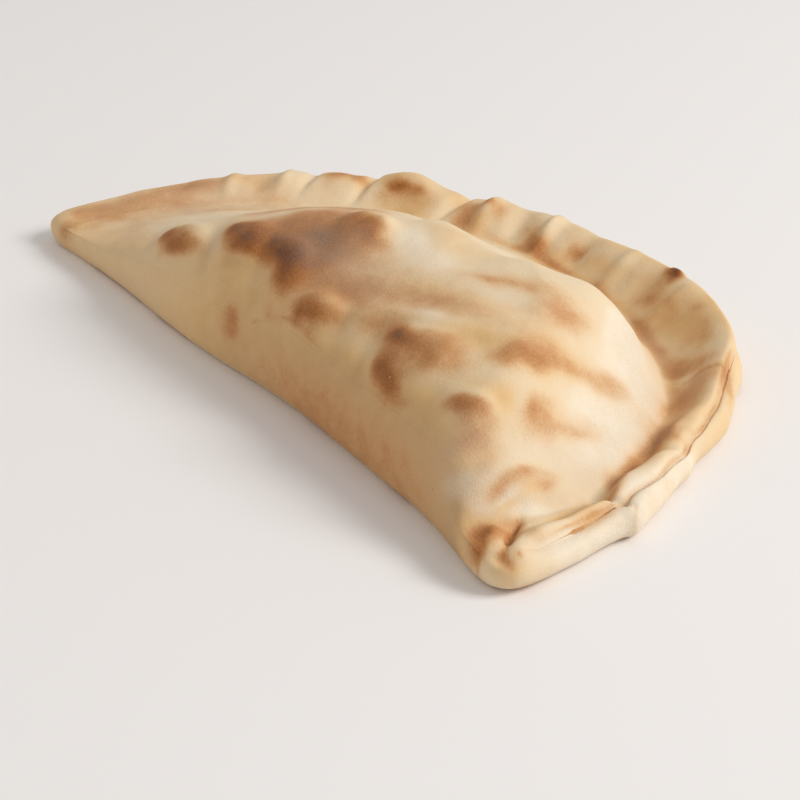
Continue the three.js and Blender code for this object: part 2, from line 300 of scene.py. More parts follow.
# x, y, half length, half width, turn, height and power
BLISTERS = (
    (-58, 7, 12, 7, 8, 2.6, 3.4), (-22, 13.5, 15, 8, 5, 3.4, 3.4), (1, 14, 11.5, 8, 150, 4.4, 4),
    (26, 10, 10, 6, 16, 3, 3.4), (7, 40, 13, 8.5, 142, 3.4, 2.8), (12, 45, 5, 2.6, 140, 1.2, 2.4),
    (75, 13, 17, 11, 15, 4, 3.6), (104, 11, 10, 6, 26, 2.4, 3), (93, 36, 9, 8, 0, 1, 2.2),
    (95, 47, 9, 6, 100, 0.8, 2.2), (83, 66, 12, 7, 64, 1, 2.2), (71, 38, 15, 7, 22, 0.9, 2.2),
    (98, 67, 10, 5, 72, 0.8, 2.2), (114, 30, 9, 7, 80, 1.2, 2.4), (125, 13, 13, 3.6, 80, 2.6, 2.4),
    (134, -5, 7, 6, 130, 0.8, 2.2), (61, 24, 17, 3.5, 20, 1, 2), (129, 15, 13, 2.4, 79, -1.5, 2),
    (35, 60, 16, 8, -25, -1.2, 2), (41, 27, 20, 6, 32, -1.4, 2), (-36, 7.5, 10, 4, 137, -4, 2),
    (-5, 9.5, 11, 4, 140, -4.4, 2), (37, 11, 9, 4.5, 130, -1.6, 2), (58, 7, 9, 4, 128, -3.8, 2),
    (93, 4, 8, 4, 120, -1.6, 2), (-76, 6, 9, 5, 130, -1.2, 2), (-60, 26, 14, 7, 20, -0.8, 2),
    (89, 17, 4, 8, 20, -0.8, 2), (12, 44, 13, 12, 142, 2, 2), (-10, 62, 14, 8, 120, 1.2, 2),
    (14, 64, 20, 9, 160, 3, 2.2), (40, 77, 12, 9, 30, -4, 2.2), (69, 90, 18, 12, 130, 6.8, 2.6),
    (-22, 96, 15, 9, 15, 1.5, 2.4), (24, 108, 12, 8, 165, 1.2, 2.2), (-64, 74, 14, 9, 40, 1.4, 2.4),
    (-98, 47, 11, 7, 60, 1, 2.2), (-42, 62, 10, 7, 20, 1, 2.2),
)

# the near corner's twist, with the same columns
TUCKS = (
    (135, -1.5, 6, 1.8, 134, 1.6, 2.2), (137, 4, 7, 1.5, 132, -2.4, 2.2), (146, 0, 5, 3.4, 70, 1.8, 2.4),
    (145, -5.5, 3.5, 1.3, 50, -2.2, 2), (142, 11, 6, 4, 100, 1, 2.2), (131.5, 3, 10, 2.2, 68, -1.2, 2),
)

# the line's points, width, depth and browning, which is partly painted shade in the line's groove
CREASES = (
    (((143, 41.7), (144.9, 39.9), (146.6, 38.6)), 0.7, 0.5, 0.15),
    (((132.4, 9.2), (134.4, 6.1), (137, 3), (139.1, 0.7)), 0.9, 0.9, 0.5),
    (((139.1, 0.7), (141.6, -1.6), (143.4, -4.1)), 0.9, 0.5, 0.35),
    (((136.6, -6.4), (138, -7.8), (138.6, -9.2)), 1, 0.5, 0.25),
    (((143.6, -6), (145.5, -6.6), (148, -4.4)), 1.1, 0.6, 0.12),
    (((90, 103.5), (92.4, 107.6), (97.6, 110.9)), 1, 0.5, 0.16),
)

# round the rim, by the angle in degrees from the near end of the fold
OUTLINE = Profile((
    (-20, 150), (-4, 150), (0, 149.8), (6, 149), (11.5, 148.6), (14.3, 149.2), (16, 151), (19, 149.6),
    (23, 148.6), (27, 147.8), (29.5, 148.6), (33, 147.8), (37, 150), (42, 152.6), (49, 153.4), (55, 156),
    (62, 154), (75, 151.5), (90, 149.5), (100, 150.5), (114, 148), (126, 151), (135, 149), (150, 148),
    (165, 146), (180, 144.5), (200, 144.5),
))
CREST_HEIGHT = Profile((
    (-10, 11.5), (0, 12.5), (9, 13), (14.5, 12.8), (19, 13.7), (26, 13.2), (33, 13.8), (40, 14), (44, 14.8),
    (47, 16.3), (50, 18.5), (55, 20.3), (60, 21.2), (66, 20.6), (75, 19), (85, 17), (97, 15.5), (107, 16),
    (116, 14.5), (127, 17.5), (134, 16), (140, 16.5), (153, 15.5), (165, 13.5), (180, 11.5),
))
CREST_IN = Profile((
    (-10, 8), (3, 7.5), (8, 6.2), (13, 6.6), (14.8, 6.2), (16, 8.2), (18, 9.2), (20.5, 9.2), (22.5, 7.8),
    (26.5, 5.6), (29.5, 6.2), (32, 6.8), (35, 7.4), (38, 7.4), (41, 6.6), (47, 4.6), (52, 3.6), (65, 3.5),
    (75, 4), (85, 5), (97, 6.5), (107, 7), (127, 9), (180, 9),
))
VALLEY_IN = Profile((
    (-10, 14), (9, 13), (15, 13), (22, 15.5), (28, 13.4), (35, 15.4), (44, 18.4), (52, 23), (65, 26),
    (125, 26), (150, 24), (165, 22), (180, 18),
))
VALLEY_HEIGHT = Profile((
    (-10, 10), (0, 10), (15, 9), (30, 8), (60, 7.5), (90, 8), (120, 9.5), (145, 11.5), (165, 12), (180, 10),
))
SEAM_IN = Profile((
    (-10, 5), (3, 5.2), (8, 5.2), (12, 5.4), (16.5, 5.6), (20, 4.4), (24, 3.2), (30, 2.8), (34.5, 2.9),
    (40, 4.6), (44, 4.8), (51, 3.6), (60, 2.8),
))
SEAM_HEIGHT = Profile((
    (-10, 8.6), (3, 8.8), (12, 9.8), (17, 12), (24, 11.4), (34, 11.2), (42, 12.2), (60, 12.8),
))
DOME_EDGE = Profile(((-10, 150), (15, 150), (50, 153), (90, 150), (180, 145)))
FOOT_IN = Profile((
    (-10, 15), (20, 15.5), (35, 18), (52, 23), (65, 26), (125, 26), (150, 24), (165, 22), (180, 18),
))
SKIRT = Profile(((0, 27), (15, 33), (30, 38), (52, 41), (62, 51), (75, 69), (90, 87), (140, 88), (180, 70)))
ROLLED_SHARE = Profile(((-4, 0), (3, 1), (52, 1), (64, 0)))

# along the fold
DOME_HEIGHT = Profile((
    (-150, 12), (-125, 19), (-80, 31), (-45, 41), (-10, 47), (30, 45.5), (65, 44.5), (95, 41.5), (120, 36),
    (138, 25), (150, 13),
))
FLANK = Profile(((-150, 34), (-60, 48), (40, 52), (100, 44), (150, 26)))


@dataclass(frozen=True)
class DoughForm:
    """The height of the baked dough over every point of its plan."""

    edge_height: float = 6.0
    fold_height: float = 9.0
    fold_band: Span = (2.0, 16.0)
    fold_ends: Span = (115.0, 143.0)
    fold_inset: float = -2.5
    wave: Span = (19.0, 0.6)
    foot: tuple[float, float, float] = (7.5, 140.0, 27.0)
    waist: tuple[float, float, float] = (1.5, 60.0, 50.0)
    corner_blend: float = 9.0
    lip_round: float = 6.0
    lower_lip: Span = (3.4, 6.0)
    roll_base: float = 8.0
    roll_overlap: float = 1.2
    groove_depth: float = 0.9
    groove_width: float = 0.9
    under_dome_slope: float = 1.2
    middle_low: float = 10.0
    middle_band: Span = (100.0, 140.0)
    fold_swell: Span = (2.2, 0.47)
    skirt_swell: Span = (1.65, 1.2)
    dome_blend: float = 3.0
    corner_soft: float = 9.0
    corner_x: Span = (95.0, 122.0)
    corner_angle: Span = (2.0, 14.0)
    pleat_fade: float = 5.0
    blister_fade: float = 8.0
    tuck_fade: float = 3.0
    pleats: tuple[Pleat, ...] = tuple(Pleat(*row) for row in PLEATS)
    blisters: tuple[Blister, ...] = tuple(Blister(*row) for row in BLISTERS)
    tucks: tuple[Blister, ...] = tuple(Blister(*row) for row in TUCKS)
    creases: tuple[Crease, ...] = tuple(Crease(*row) for row in CREASES)

    def fold_line(self, x: Array) -> Array:
        """Give the fold's y along it: a slow wave, a spread foot and a slight waist."""
        foot, waist = (size * hump(x, at, width) for size, at, width in (self.foot, self.waist))
        return self.fold_inset + np.sin(x / self.wave[0] + self.wave[1]) - foot + waist

    def place(self, x: Array, y: Array) -> Place:
        """Find where points of the plan lie on the dough.

        Args:
            x: Positions along the fold.
            y: Positions across it.

        Returns:
            Their angles and distances in from the outline.
        """
        turn = np.arctan2(y, x)
        angle = np.degrees(np.where(turn < -np.pi / 2, turn + 2 * np.pi, turn))
        arc_in = OUTLINE(angle) - np.hypot(x, y)
        return Place(x, y, angle, arc_in, smooth_min(arc_in, y - self.fold_line(x), self.corner_blend))

    def widest(self, x: Array, y: Array) -> Array:
        """Give the height of the widest line: low round the rim, higher along the fold.

        Args:
            x: Positions along the fold.
            y: Positions across it.

        Returns:
            The height of the line nearest to them.
        """
        near_fold = 1 - ease(y, *self.fold_band)
        mid_fold = 1 - ease(np.abs(x), *self.fold_ends)
        return self.edge_height + (self.fold_height - self.edge_height) * near_fold * mid_fold

    def inner_face(self, p: Place) -> Array:
        """Give the rim's inner face, from its crest down to the valley and on under the dome.

        Args:
            p: Where to read it.

        Returns:
            Its height.
        """
        top, at, foot = CREST_HEIGHT(p.angle), CREST_IN(p.angle), VALLEY_IN(p.angle)
        down = 0.5 - 0.5 * np.cos(np.pi * np.clip((p.arc_in - at) / (foot - at), 0, 1))
        past = np.maximum(p.arc_in - foot, 0)
        return top - (top - VALLEY_HEIGHT(p.angle)) * down - self.under_dome_slope * past

    def single_lip(self, p: Place, inner: Array) -> Array:
        """Give one lip, rounded over from the widest line.

        Args:
            p: Where to read it.
            inner: The inner face's height there.

        Returns:
            The lip's height.
        """
        reach = np.minimum(CREST_IN(p.angle), self.lip_round)
        lift = round_over(1 - np.clip(p.edge_in / reach, 0, 1))
        return self.edge_height + (inner - self.edge_height) * lift

    def rolled_lobes(self, p: Place, inner: Array) -> Array:
        """Give two lobes, the upper rolled over the lower, with a groove between them.

        Args:
            p: Where to read them.
            inner: The inner face's height there.

        Returns:
            The lobes' height.
        """
        at, seam = CREST_IN(p.angle), SEAM_IN(p.angle)
        outer, behind = self.lower_lip
        across = p.edge_in - outer
        lower_round = round_over(across / np.where(across > 0, behind, outer))
        lower = self.edge_height + (SEAM_HEIGHT(p.angle) - self.edge_height) * lower_round
        reach = at - seam + self.roll_overlap
        rolled = self.roll_base + (inner - self.roll_base) * round_over((p.edge_in - at) / reach)
        upper = np.where(p.edge_in > at, inner, rolled * (p.edge_in > at - reach))
        return np.maximum(lower, upper) - self.groove_depth * hump(p.edge_in, seam, self.groove_width)

    def rim(self, p: Place) -> Array:
        """Give the rolled, pinched rim.

        Args:
            p: Where to read it.

        Returns:
            Its height.
        """
        inner = self.inner_face(p)
        lip = self.single_lip(p, inner)
        body = lip + (self.rolled_lobes(p, inner) - lip) * ROLLED_SHARE(p.angle)
        relief = sum(one.relief(p) for one in self.pleats)
        return body + relief * np.clip(p.edge_in / self.pleat_fade, 0, 1)

    def dome(self, p: Place) -> Array:
        """Give the filled dome, with its blisters.

        Args:
            p: Where to read it.

        Returns:
            Its height.
        """
        low = VALLEY_HEIGHT(p.angle)
        low += (self.middle_low - low) * ease(p.arc_in, *self.middle_band)
        past = DOME_EDGE(p.angle) - np.hypot(p.x, p.y) - FOOT_IN(p.angle)
        fold_share = np.clip((p.y - self.fold_line(p.x)) / FLANK(p.x), 0, 1)
        skirt_share = np.clip(past / SKIRT(p.angle), 0, 1)
        over_fold = (1 - (1 - fold_share) ** self.fold_swell[0]) ** self.fold_swell[1]
        over_skirt = (1 - (1 - skirt_share) ** self.skirt_swell[0]) ** self.skirt_swell[1]
        body = low + (DOME_HEIGHT(p.x) - low) * over_fold * over_skirt + np.minimum(past, 0)
        relief = sum(one.relief(p) for one in self.blisters)
        return body + relief * np.clip(p.edge_in / self.blister_fade, 0, 1)

    def crust(self, x: Array, y: Array) -> Array:
        """Give the height of the upper crust over points of the plan.

        Args:
            x: Positions along the fold.
            y: Positions across it.

        Returns:
            The heights, in millimetres.
        """
        p = self.place(x, y)
        near_corner = ease(x, *self.corner_x) * (1 - ease(p.angle, *self.corner_angle))
        body = smooth_max(self.rim(p), self.dome(p), self.dome_blend + self.corner_soft * near_corner)
        tucked = sum(one.relief(p) for one in self.tucks)
        pressed = sum(one.depth * one.near(p) for one in self.creases)
        body += (tucked - pressed) * np.clip(p.edge_in / self.tuck_fade, 0, 1)
        return np.maximum(body, self.widest(x, y))

    def point(self, x: float, y: float) -> tuple[Array, Array]:
        """Find a point of the upper crust and its normal.

        Args:
            x: Position along the fold.
            y: Position across it.

        Returns:
            The point and the unit normal there.
        """
        step = 1.0
        xs = np.array([x, x + step, x - step, x, x], float)
        ys = np.array([y, y, y, y + step, y - step], float)
        z = self.crust(xs, ys)
        normal = np.array([z[2] - z[1], z[4] - z[3], 2 * step])
        return np.array([x, y, z[0]]), normal / np.linalg.norm(normal)


# ---- browning and flour ----


class Bake(Enum):
    """What the crust shows; each is an attribute of the dough skin."""

    # the browning and golden attributes also hold painted shade, the golden one a painted warm bounce on the
    # flank; the veil holds a spot of painted shade and the flour a partly painted highlight
    TOAST_AND_SHADE = "toast_and_shade"
    GOLD_AND_SHADE = "gold_and_shade"
    VEIL_AND_SHADE = "veil"
    FLOUR_AND_HIGHLIGHT = "flour"
    SEAM = "seam"


@dataclass(frozen=True)
class Spot:
    """A soft-edged patch on the crust, an ellipse lying in the surface."""

    x: float
    y: float
    long: float
    wide: float
    turn: float
    percent: float
    power: float = 2.1
    extra_depth: float = 4.0

    def cover(self, form: DoughForm, points: Array) -> Array:
        """Give how strongly the patch covers points near the surface.

        Args:
            form: The dough that the patch lies on.
            points: Positions in millimetres in the disc's frame, one row each.

        Returns:
            The patch's strength at each point.
        """
        middle, normal = form.point(self.x, self.y)
        turn = math.radians(self.turn)
        along = np.array([math.cos(turn), math.sin(turn), 0.0])
        along -= normal * along.dot(normal)
        along /= np.linalg.norm(along)
        across = np.cross(normal, along)
        away = points - middle
        u, v = away @ along / self.long, away @ across / self.wide
        w = away @ normal / (self.wide + self.extra_depth)
        return self.percent / 100 * bell(np.hypot(u, w), v, self.power)


# x, y, half length, half width, turn, strength in percent and power
TOAST_SPOTS = (
    # the flank and its blisters, from the far corner to the near one
    (-103, 14, 28, 7.9, 163, 18), (-62, 6, 9.8, 3, 174, 30), (-58, 5, 17.4, 5.6, 10, 14, 2.2),
    (-57, 6, 14.5, 5.6, 6, 52, 2.4), (-29, 13, 8.5, 3.4, 176, 40), (-23, 13, 16.6, 6.3, 5, 58, 2.4),
    (-19, 12, 12.1, 5, 13, 42, 2.4), (-16, 2, 15, 5, 120, 8), (-16, 3, 17, 9, 122, 6, 2.2),
    (-9, -1, 8.2, 6.8, 15, 16), (-8, -1, 6.2, 3.8, 64, 26), (-2, 14, 5.6, 3.9, 145, 62, 2.4),
    (1, 8, 13, 5, 114, 8), (3, 14, 11.1, 7.5, 147, 68, 2.4), (4, 14, 6, 5, 150, 30),
    (5, 9, 5.8, 3.8, 18, 25, 2.4), (7, 4, 4, 2.6, 120, 22, 2), (21, 8, 5.6, 2.6, 7, 35, 2.4),
    (26, 9, 10.1, 4.4, 14, 56, 2.4), (28, 6, 3.3, 2.6, 168, 30), (36, 8, 6, 3.6, 30, 12),
    (46, 17, 13, 6, 18, 24), (49, 15, 10, 6, 18, 10), (64, 15, 8.7, 3.8, 168, 76, 2.4),
    (71, 5, 8.9, 5, 134, 76), (75, 14, 18.6, 8.1, 17, 44, 2.5), (80, 4, 4.6, 3.1, 27, 34, 2.2),
    (82, 11, 11.1, 5.5, 20, 22, 2.3), (104, 10, 10, 3.4, 28, 58, 2.4), (110, 7, 6, 4, 135, 16),
    (112, 3, 9, 7, 130, 10), (112, 7, 7.2, 6.9, 166, 18, 2), (113, 9, 7.5, 5.5, 145, 12),
    (118, 13, 9, 7, 85, 8),
    # the crown
    (-118, 40, 25.3, 13.8, 141, 26), (-91, 21, 24, 6, 176, 10), (-48, 29, 24, 5, 160, 8),
    (-32, 38, 20, 7, 35, 42), (-13, 20, 13, 7, 20, 60, 2.3), (-13, 32, 20.4, 7.2, 41, 52),
    (2, 26, 13, 9, 160, 44), (3, 25, 13.2, 12.9, 82, 62), (9, 37, 14.9, 5.4, 152, 48),
    (9, 20, 9, 5, 12, 20), (11, 38, 8.6, 3.6, 147, 52, 2.4), (24, 27, 34, 16, 22, 24, 2.4),
    (27, 20, 11.9, 7.1, 29, 34, 2.4), (44, 29, 28.2, 6.6, 21, 12, 2.4), (60, 31, 19.7, 5.4, 24, 12, 2.2),
    (61, 34, 18.9, 5.3, 12, 10, 2.4), (70, 40, 26, 9, 24, 14, 2.2), (75, 22, 7.4, 5.9, 18, 14),
    (82, 23, 6.1, 5.7, 158, 20, 2.4),
    # the skirt and the back of the dome
    (-100, 62, 26, 14, 60, 22), (-98, 48, 9, 5, 60, 25, 2.3), (-64, 75, 13, 7, 40, 42, 2.3),
    (-42, 63, 9, 5, 20, 25, 2.3), (-22, 97, 14, 7, 15, 40, 2.3), (-14, 51, 13, 7, 60, 34),
    (-5, 82, 20, 9, 170, 14), (24, 109, 11, 6, 165, 30, 2.3), (25, 61, 8, 5, 43, 16),
    (25, 121, 14, 4, 150, 22), (57, 55, 11.6, 4, 25, 22, 2.2), (63, 60, 20.3, 8.1, 38, 18, 2.2),
    (71, 63, 10, 7, 179, 15, 2.2), (82, 62, 11, 9, 87, 24), (83, 62, 12.7, 5.5, 72, 14, 2.2),
    (83, 64, 9.4, 3.6, 91, 14), (95, 41, 14.1, 7.6, 75, 8, 2.2), (95, 35, 4.6, 3.9, 61, 14, 2.4),
    (96, 43, 13.5, 7.2, 82, 24, 2.3), (97, 38, 11.5, 7.2, 61, 34), (99, 53, 8.7, 3.2, 67, 22, 2.2),
    (101, 64, 11, 4.9, 70, 10, 2.2), (101, 64, 12, 6, 65, 26), (110, 36, 8, 5, 75, 12),
    (111, 30, 6.4, 4.1, 101, 12, 2.2), (112, 29, 7.9, 5.2, 121, 30), (115, 42, 10.1, 3.3, 69, 28, 2.2),
    (116, 31, 7.3, 4.8, 73, 22, 2.2),
    # the near corner
    # the brown left of the corner's ridge is partly browning and partly painted shade
    (138, -9, 3.4, 2.2, 145, 34), (134, -6, 6.1, 2.7, 149, 22), (133, -5, 6.5, 5.6, 127, 44),
    (144, -5, 2.6, 1.6, 38, 25), (146, -5, 2.4, 1.5, 20, 40, 2), (132, -3, 2.7, 2.4, 131, 12),
    (136, -2, 8.5, 5.5, 94, 28, 2.2), (147, -1, 1, 0.8, 68, 40, 2), (125, 5, 4, 1.8, 121, 20),
    (132, 5, 3, 1.6, 72, 20), (143, 6, 4.6, 3.5, 67, 25), (125, 13, 9.5, 2.4, 82, 36),
    (123, 18, 6, 1.8, 92, 22), (126, 22.5, 5.5, 2.3, 100, 39), (123, 26, 4, 1.6, 68, 20),
    (141, 27, 7.6, 1.8, 93, 12, 2.2),
    # the rim and its valley, from the near corner to the far one
    (139, 30, 8.7, 1.8, 98, 26), (140, 31, 9.5, 1.8, 98, 8), (128, 46, 6, 2.8, 140, 36),
    # the spots at (118, 66) and (115, 74) are painted shade in the valley beside the rolled upper lobe
    (118, 66, 13, 3.2, 120, 42, 2.2), (115, 74, 7.5, 4.2, 160, 46), (119, 77, 13.7, 2.6, 120, 18),
    (115, 76, 10, 3.5, 170, 20), (104, 87, 12, 5, 130, 32), (104, 98, 13.1, 4, 131, 24, 2.2),
    (101, 97, 9, 4, 166, 10), (98, 96, 13.4, 5.8, 81, 14), (104, 109, 11.1, 2.9, 145, 25),
    (93, 103, 15.9, 5.3, 129, 15), (90, 112, 11, 7, 125, 22), (80, 107, 8, 4, 142, 20),
    (80, 109, 7, 4.5, 174, 28), (77, 124, 7, 3.5, 159, 20), (69, 112, 8, 3, 162, 24),
    (65, 130, 4, 3, 3, 26), (57, 116, 10, 3.5, 152, 26), (54, 129, 5, 3, 9, 20),
    (47, 118, 12, 2.4, 150, 24), (49, 128, 30, 7, 168, 20, 2.2), (41, 129, 7, 4, 167, 24),
    (39, 142.5, 5.5, 3, -15, 95), (-5, 135, 5.3, 4, 89, 34), (-8, 125, 16, 3.5, 3, 22),
    (-20, 127, 8.9, 4.2, 158, 38), (-25, 131, 10, 4.6, 149, 24), (-37, 122, 10, 4.5, 1, 22),
    (-42, 131, 5.5, 4, 144, 28), (-48, 128, 3.5, 2.5, 26, 45), (-53, 125, 6, 3.4, 6, 20),
    (-51, 117, 6, 5, 5, 20), (-53, 120, 7.4, 4.7, 154, 32), (-72, 113, 11.1, 7.5, 27, 30),
    (-73, 114, 2.6, 2, 41, 25), (-80, 110, 5.4, 3.6, 34, 60), (-82, 103, 5.1, 4, 75, 20, 2.2),
    (-101, 98, 8.2, 4.2, 59, 40), (-127, 55, 8.2, 4.9, 71, 40), (-129, 21, 19.9, 8.7, 97, 38),
)

GOLD_SPOTS = (
    (-18, 7, 12.2, 4, 34, 50), (-16, 3, 17, 10, 122, 22), (2, 7, 14, 6, 114, 28), (28, 12.5, 7, 6, 0, 50),
    (46, 17, 13, 6, 18, 40), (70, 0, 40, 9, 0, 30), (90, 6, 9, 5, 0, 35), (112, 3, 9, 7, 130, 35),
    (52, 36, 26, 6, 22, 40), (54, 22, 9, 4, 22, 40), (80, 30, 12, 6, 20, 40), (86, 32, 10, 5, 35, 40),
    (90, 41, 18, 14, 30, 30), (32, 58, 22, 10, 35, 28), (97, 46, 12, 8, 80, 30), (101, 18, 12, 6, 30, 35),
    (101, 64, 12, 7, 70, 40), (108, 21, 7.2, 4.7, 142, 40), (114, 40, 12, 6, 72, 40),
    (114, 46, 9.3, 3.8, 77, 40), (114, 48, 8, 5, 80, 45), (147, -6, 6, 5, 83, 40), (132, 5, 5, 3, 72, 80),
    (144, 13, 7, 3, 91, 35), (126, 14, 12, 2.6, 78, 70), (139, 33, 10, 2.2, 102, 45),
    (138, 62, 20, 4, 110, 45), (121, 92, 22, 5, 125, 35), (100, 111, 6, 3, 105, 60),
    (66, 124, 14, 9, -40, 50), (48, 128, 30, 8, 168, 50), (11, 133, 12, 6, 175, 50),
    (-8, 128, 11, 8, 0, 45), (-45, 121, 6, 5, 140, 60), (-70, 106, 13, 8, 140, 70),
)

VEIL_SPOTS = (
    (77, 14, 12, 9, 10, 10), (112, 4, 10, 8, 130, 50), (115, 6, 11, 8, 111, 50), (-32, 38, 20, 8, 35, 35),
    (-16, 30, 20, 10, 25, 25), (9, 28, 19, 8.5, 15, 66), (26, 27, 15, 8, 25, 80), (40, 45, 26, 8, 15, 12),
    (45, 27, 20, 9, 25, 25), (62, 37, 18, 8, 20, 22), (-112, 48, 40, 18, 125, 75), (-14, 50, 12, 7, 60, 40),
    (84, 58, 24, 14, 90, 22), (126, 0, 7, 2.4, 75, 40), (129, 13, 11, 3, 85, 50), (132, 27, 9, 4, 100, 50),
    # the veil at (115, 73) greys the painted shade in the valley beside the rolled upper lobe
    (122, 30, 16, 11, 90, 60), (125, 42, 13, 5, 98, 60), (115, 73, 9, 5, 160, 40), (109, 82, 8, 4, 137, 40),
    (91, 91, 11, 5, 119, 60), (97, 103, 12, 6, 140, 50), (65, 114, 14, 6, 160, 50),
    (-131, 22, 14, 8, 93, 45),
)

FLOUR_SPOTS = (
    # the flour film at (23, 46) is partly flour and partly a painted highlight on the lit slope of the
    # crown's peak
    (118, -1, 9, 5, 60, 16), (23, 46, 13, 6.2, 146, 30), (38, 47, 8, 6, 122, 12), (60, 26, 18, 4, 23, 20),
    (50, 110, 20, 6, 127, 20), (60, 52, 30, 9, 20, 16, 2), (80, 88, 16, 8, 118, 40),
    (90, 82, 25, 14, 120, 20), (93, 83, 9.5, 6.4, 167, 35), (108, 62, 26, 12, 112, 24, 2),
    (110, 55, 20, 12, 100, 20), (118, 22, 12, 8, 90, 12, 2), (126, 1, 7.5, 6, 66, 14),
    (122, 6, 9, 5, 70, 14), (126, 7, 6, 1.6, 75, 26), (146, 14, 14, 8, 84, 20, 2), (131, 14, 8, 3, 80, 30),
    (125, 15, 12, 3, 80, 10), (147, 33, 12, 4, 98, 20, 2), (145, 35, 12, 4.2, 96, 38),
    (142, 44, 26, 8, 105, 22, 2), (137, 45, 9, 4, 110, 35), (141, 60, 9, 4, 115, 30),
    (131, 67, 17, 2.8, 98, 25), (114, 60, 14, 5.2, 110, 30),
)

# how golden, how tan and how brown the flank is along the fold; partly the dough's own tone
# and partly painted light: the tan and brown deepen towards the bottom as painted shade, and
# the golden tint is partly a painted warm bounce
FLANK_GOLD_AND_WARM_BOUNCE = Profile(((-150, 0.35), (-60, 0.30), (-20, 0.42), (50, 0.55), (104, 0.42), (120, 0.05)))
FLANK_TAN_AND_SHADE = Profile(((-90, 0.05), (-40, 0.20), (0, 0.60), (35, 0.95), (60, 1), (120, 1), (140, 0)))
FLANK_TOAST_AND_SHADE = Profile((
    (-120, 0.1), (-50, 0.06), (-20, 0.12), (45, 0.4), (88, 0.36), (110, 0.24), (136, 0.05),
))
# how strong the valley's browning and painted shade behind the dome are, and how far the seam shows, round
# the rim
VALLEY_BROWNING_AND_SHADE = Profile(((4, 0), (12, 1.7), (28, 1.7), (42, 1), (92, 1), (112, 0.2)))
SEAM_SHARE = Profile(((2, 0), (8, 1), (48, 1), (58, 0)))


@dataclass(frozen=True)
class Tone:
    """The strength of a layer: an even share and its change over small and large lumps."""

    even: float
    fine: float = 0.0
    broad: float = 0.0

    def over(self, fine: Array, broad: Array) -> Array:
        """Give the strength over the two kinds of lumps, from 0 to 1."""
        return np.clip(self.even + self.fine * fine + self.broad * broad, 0, 1)


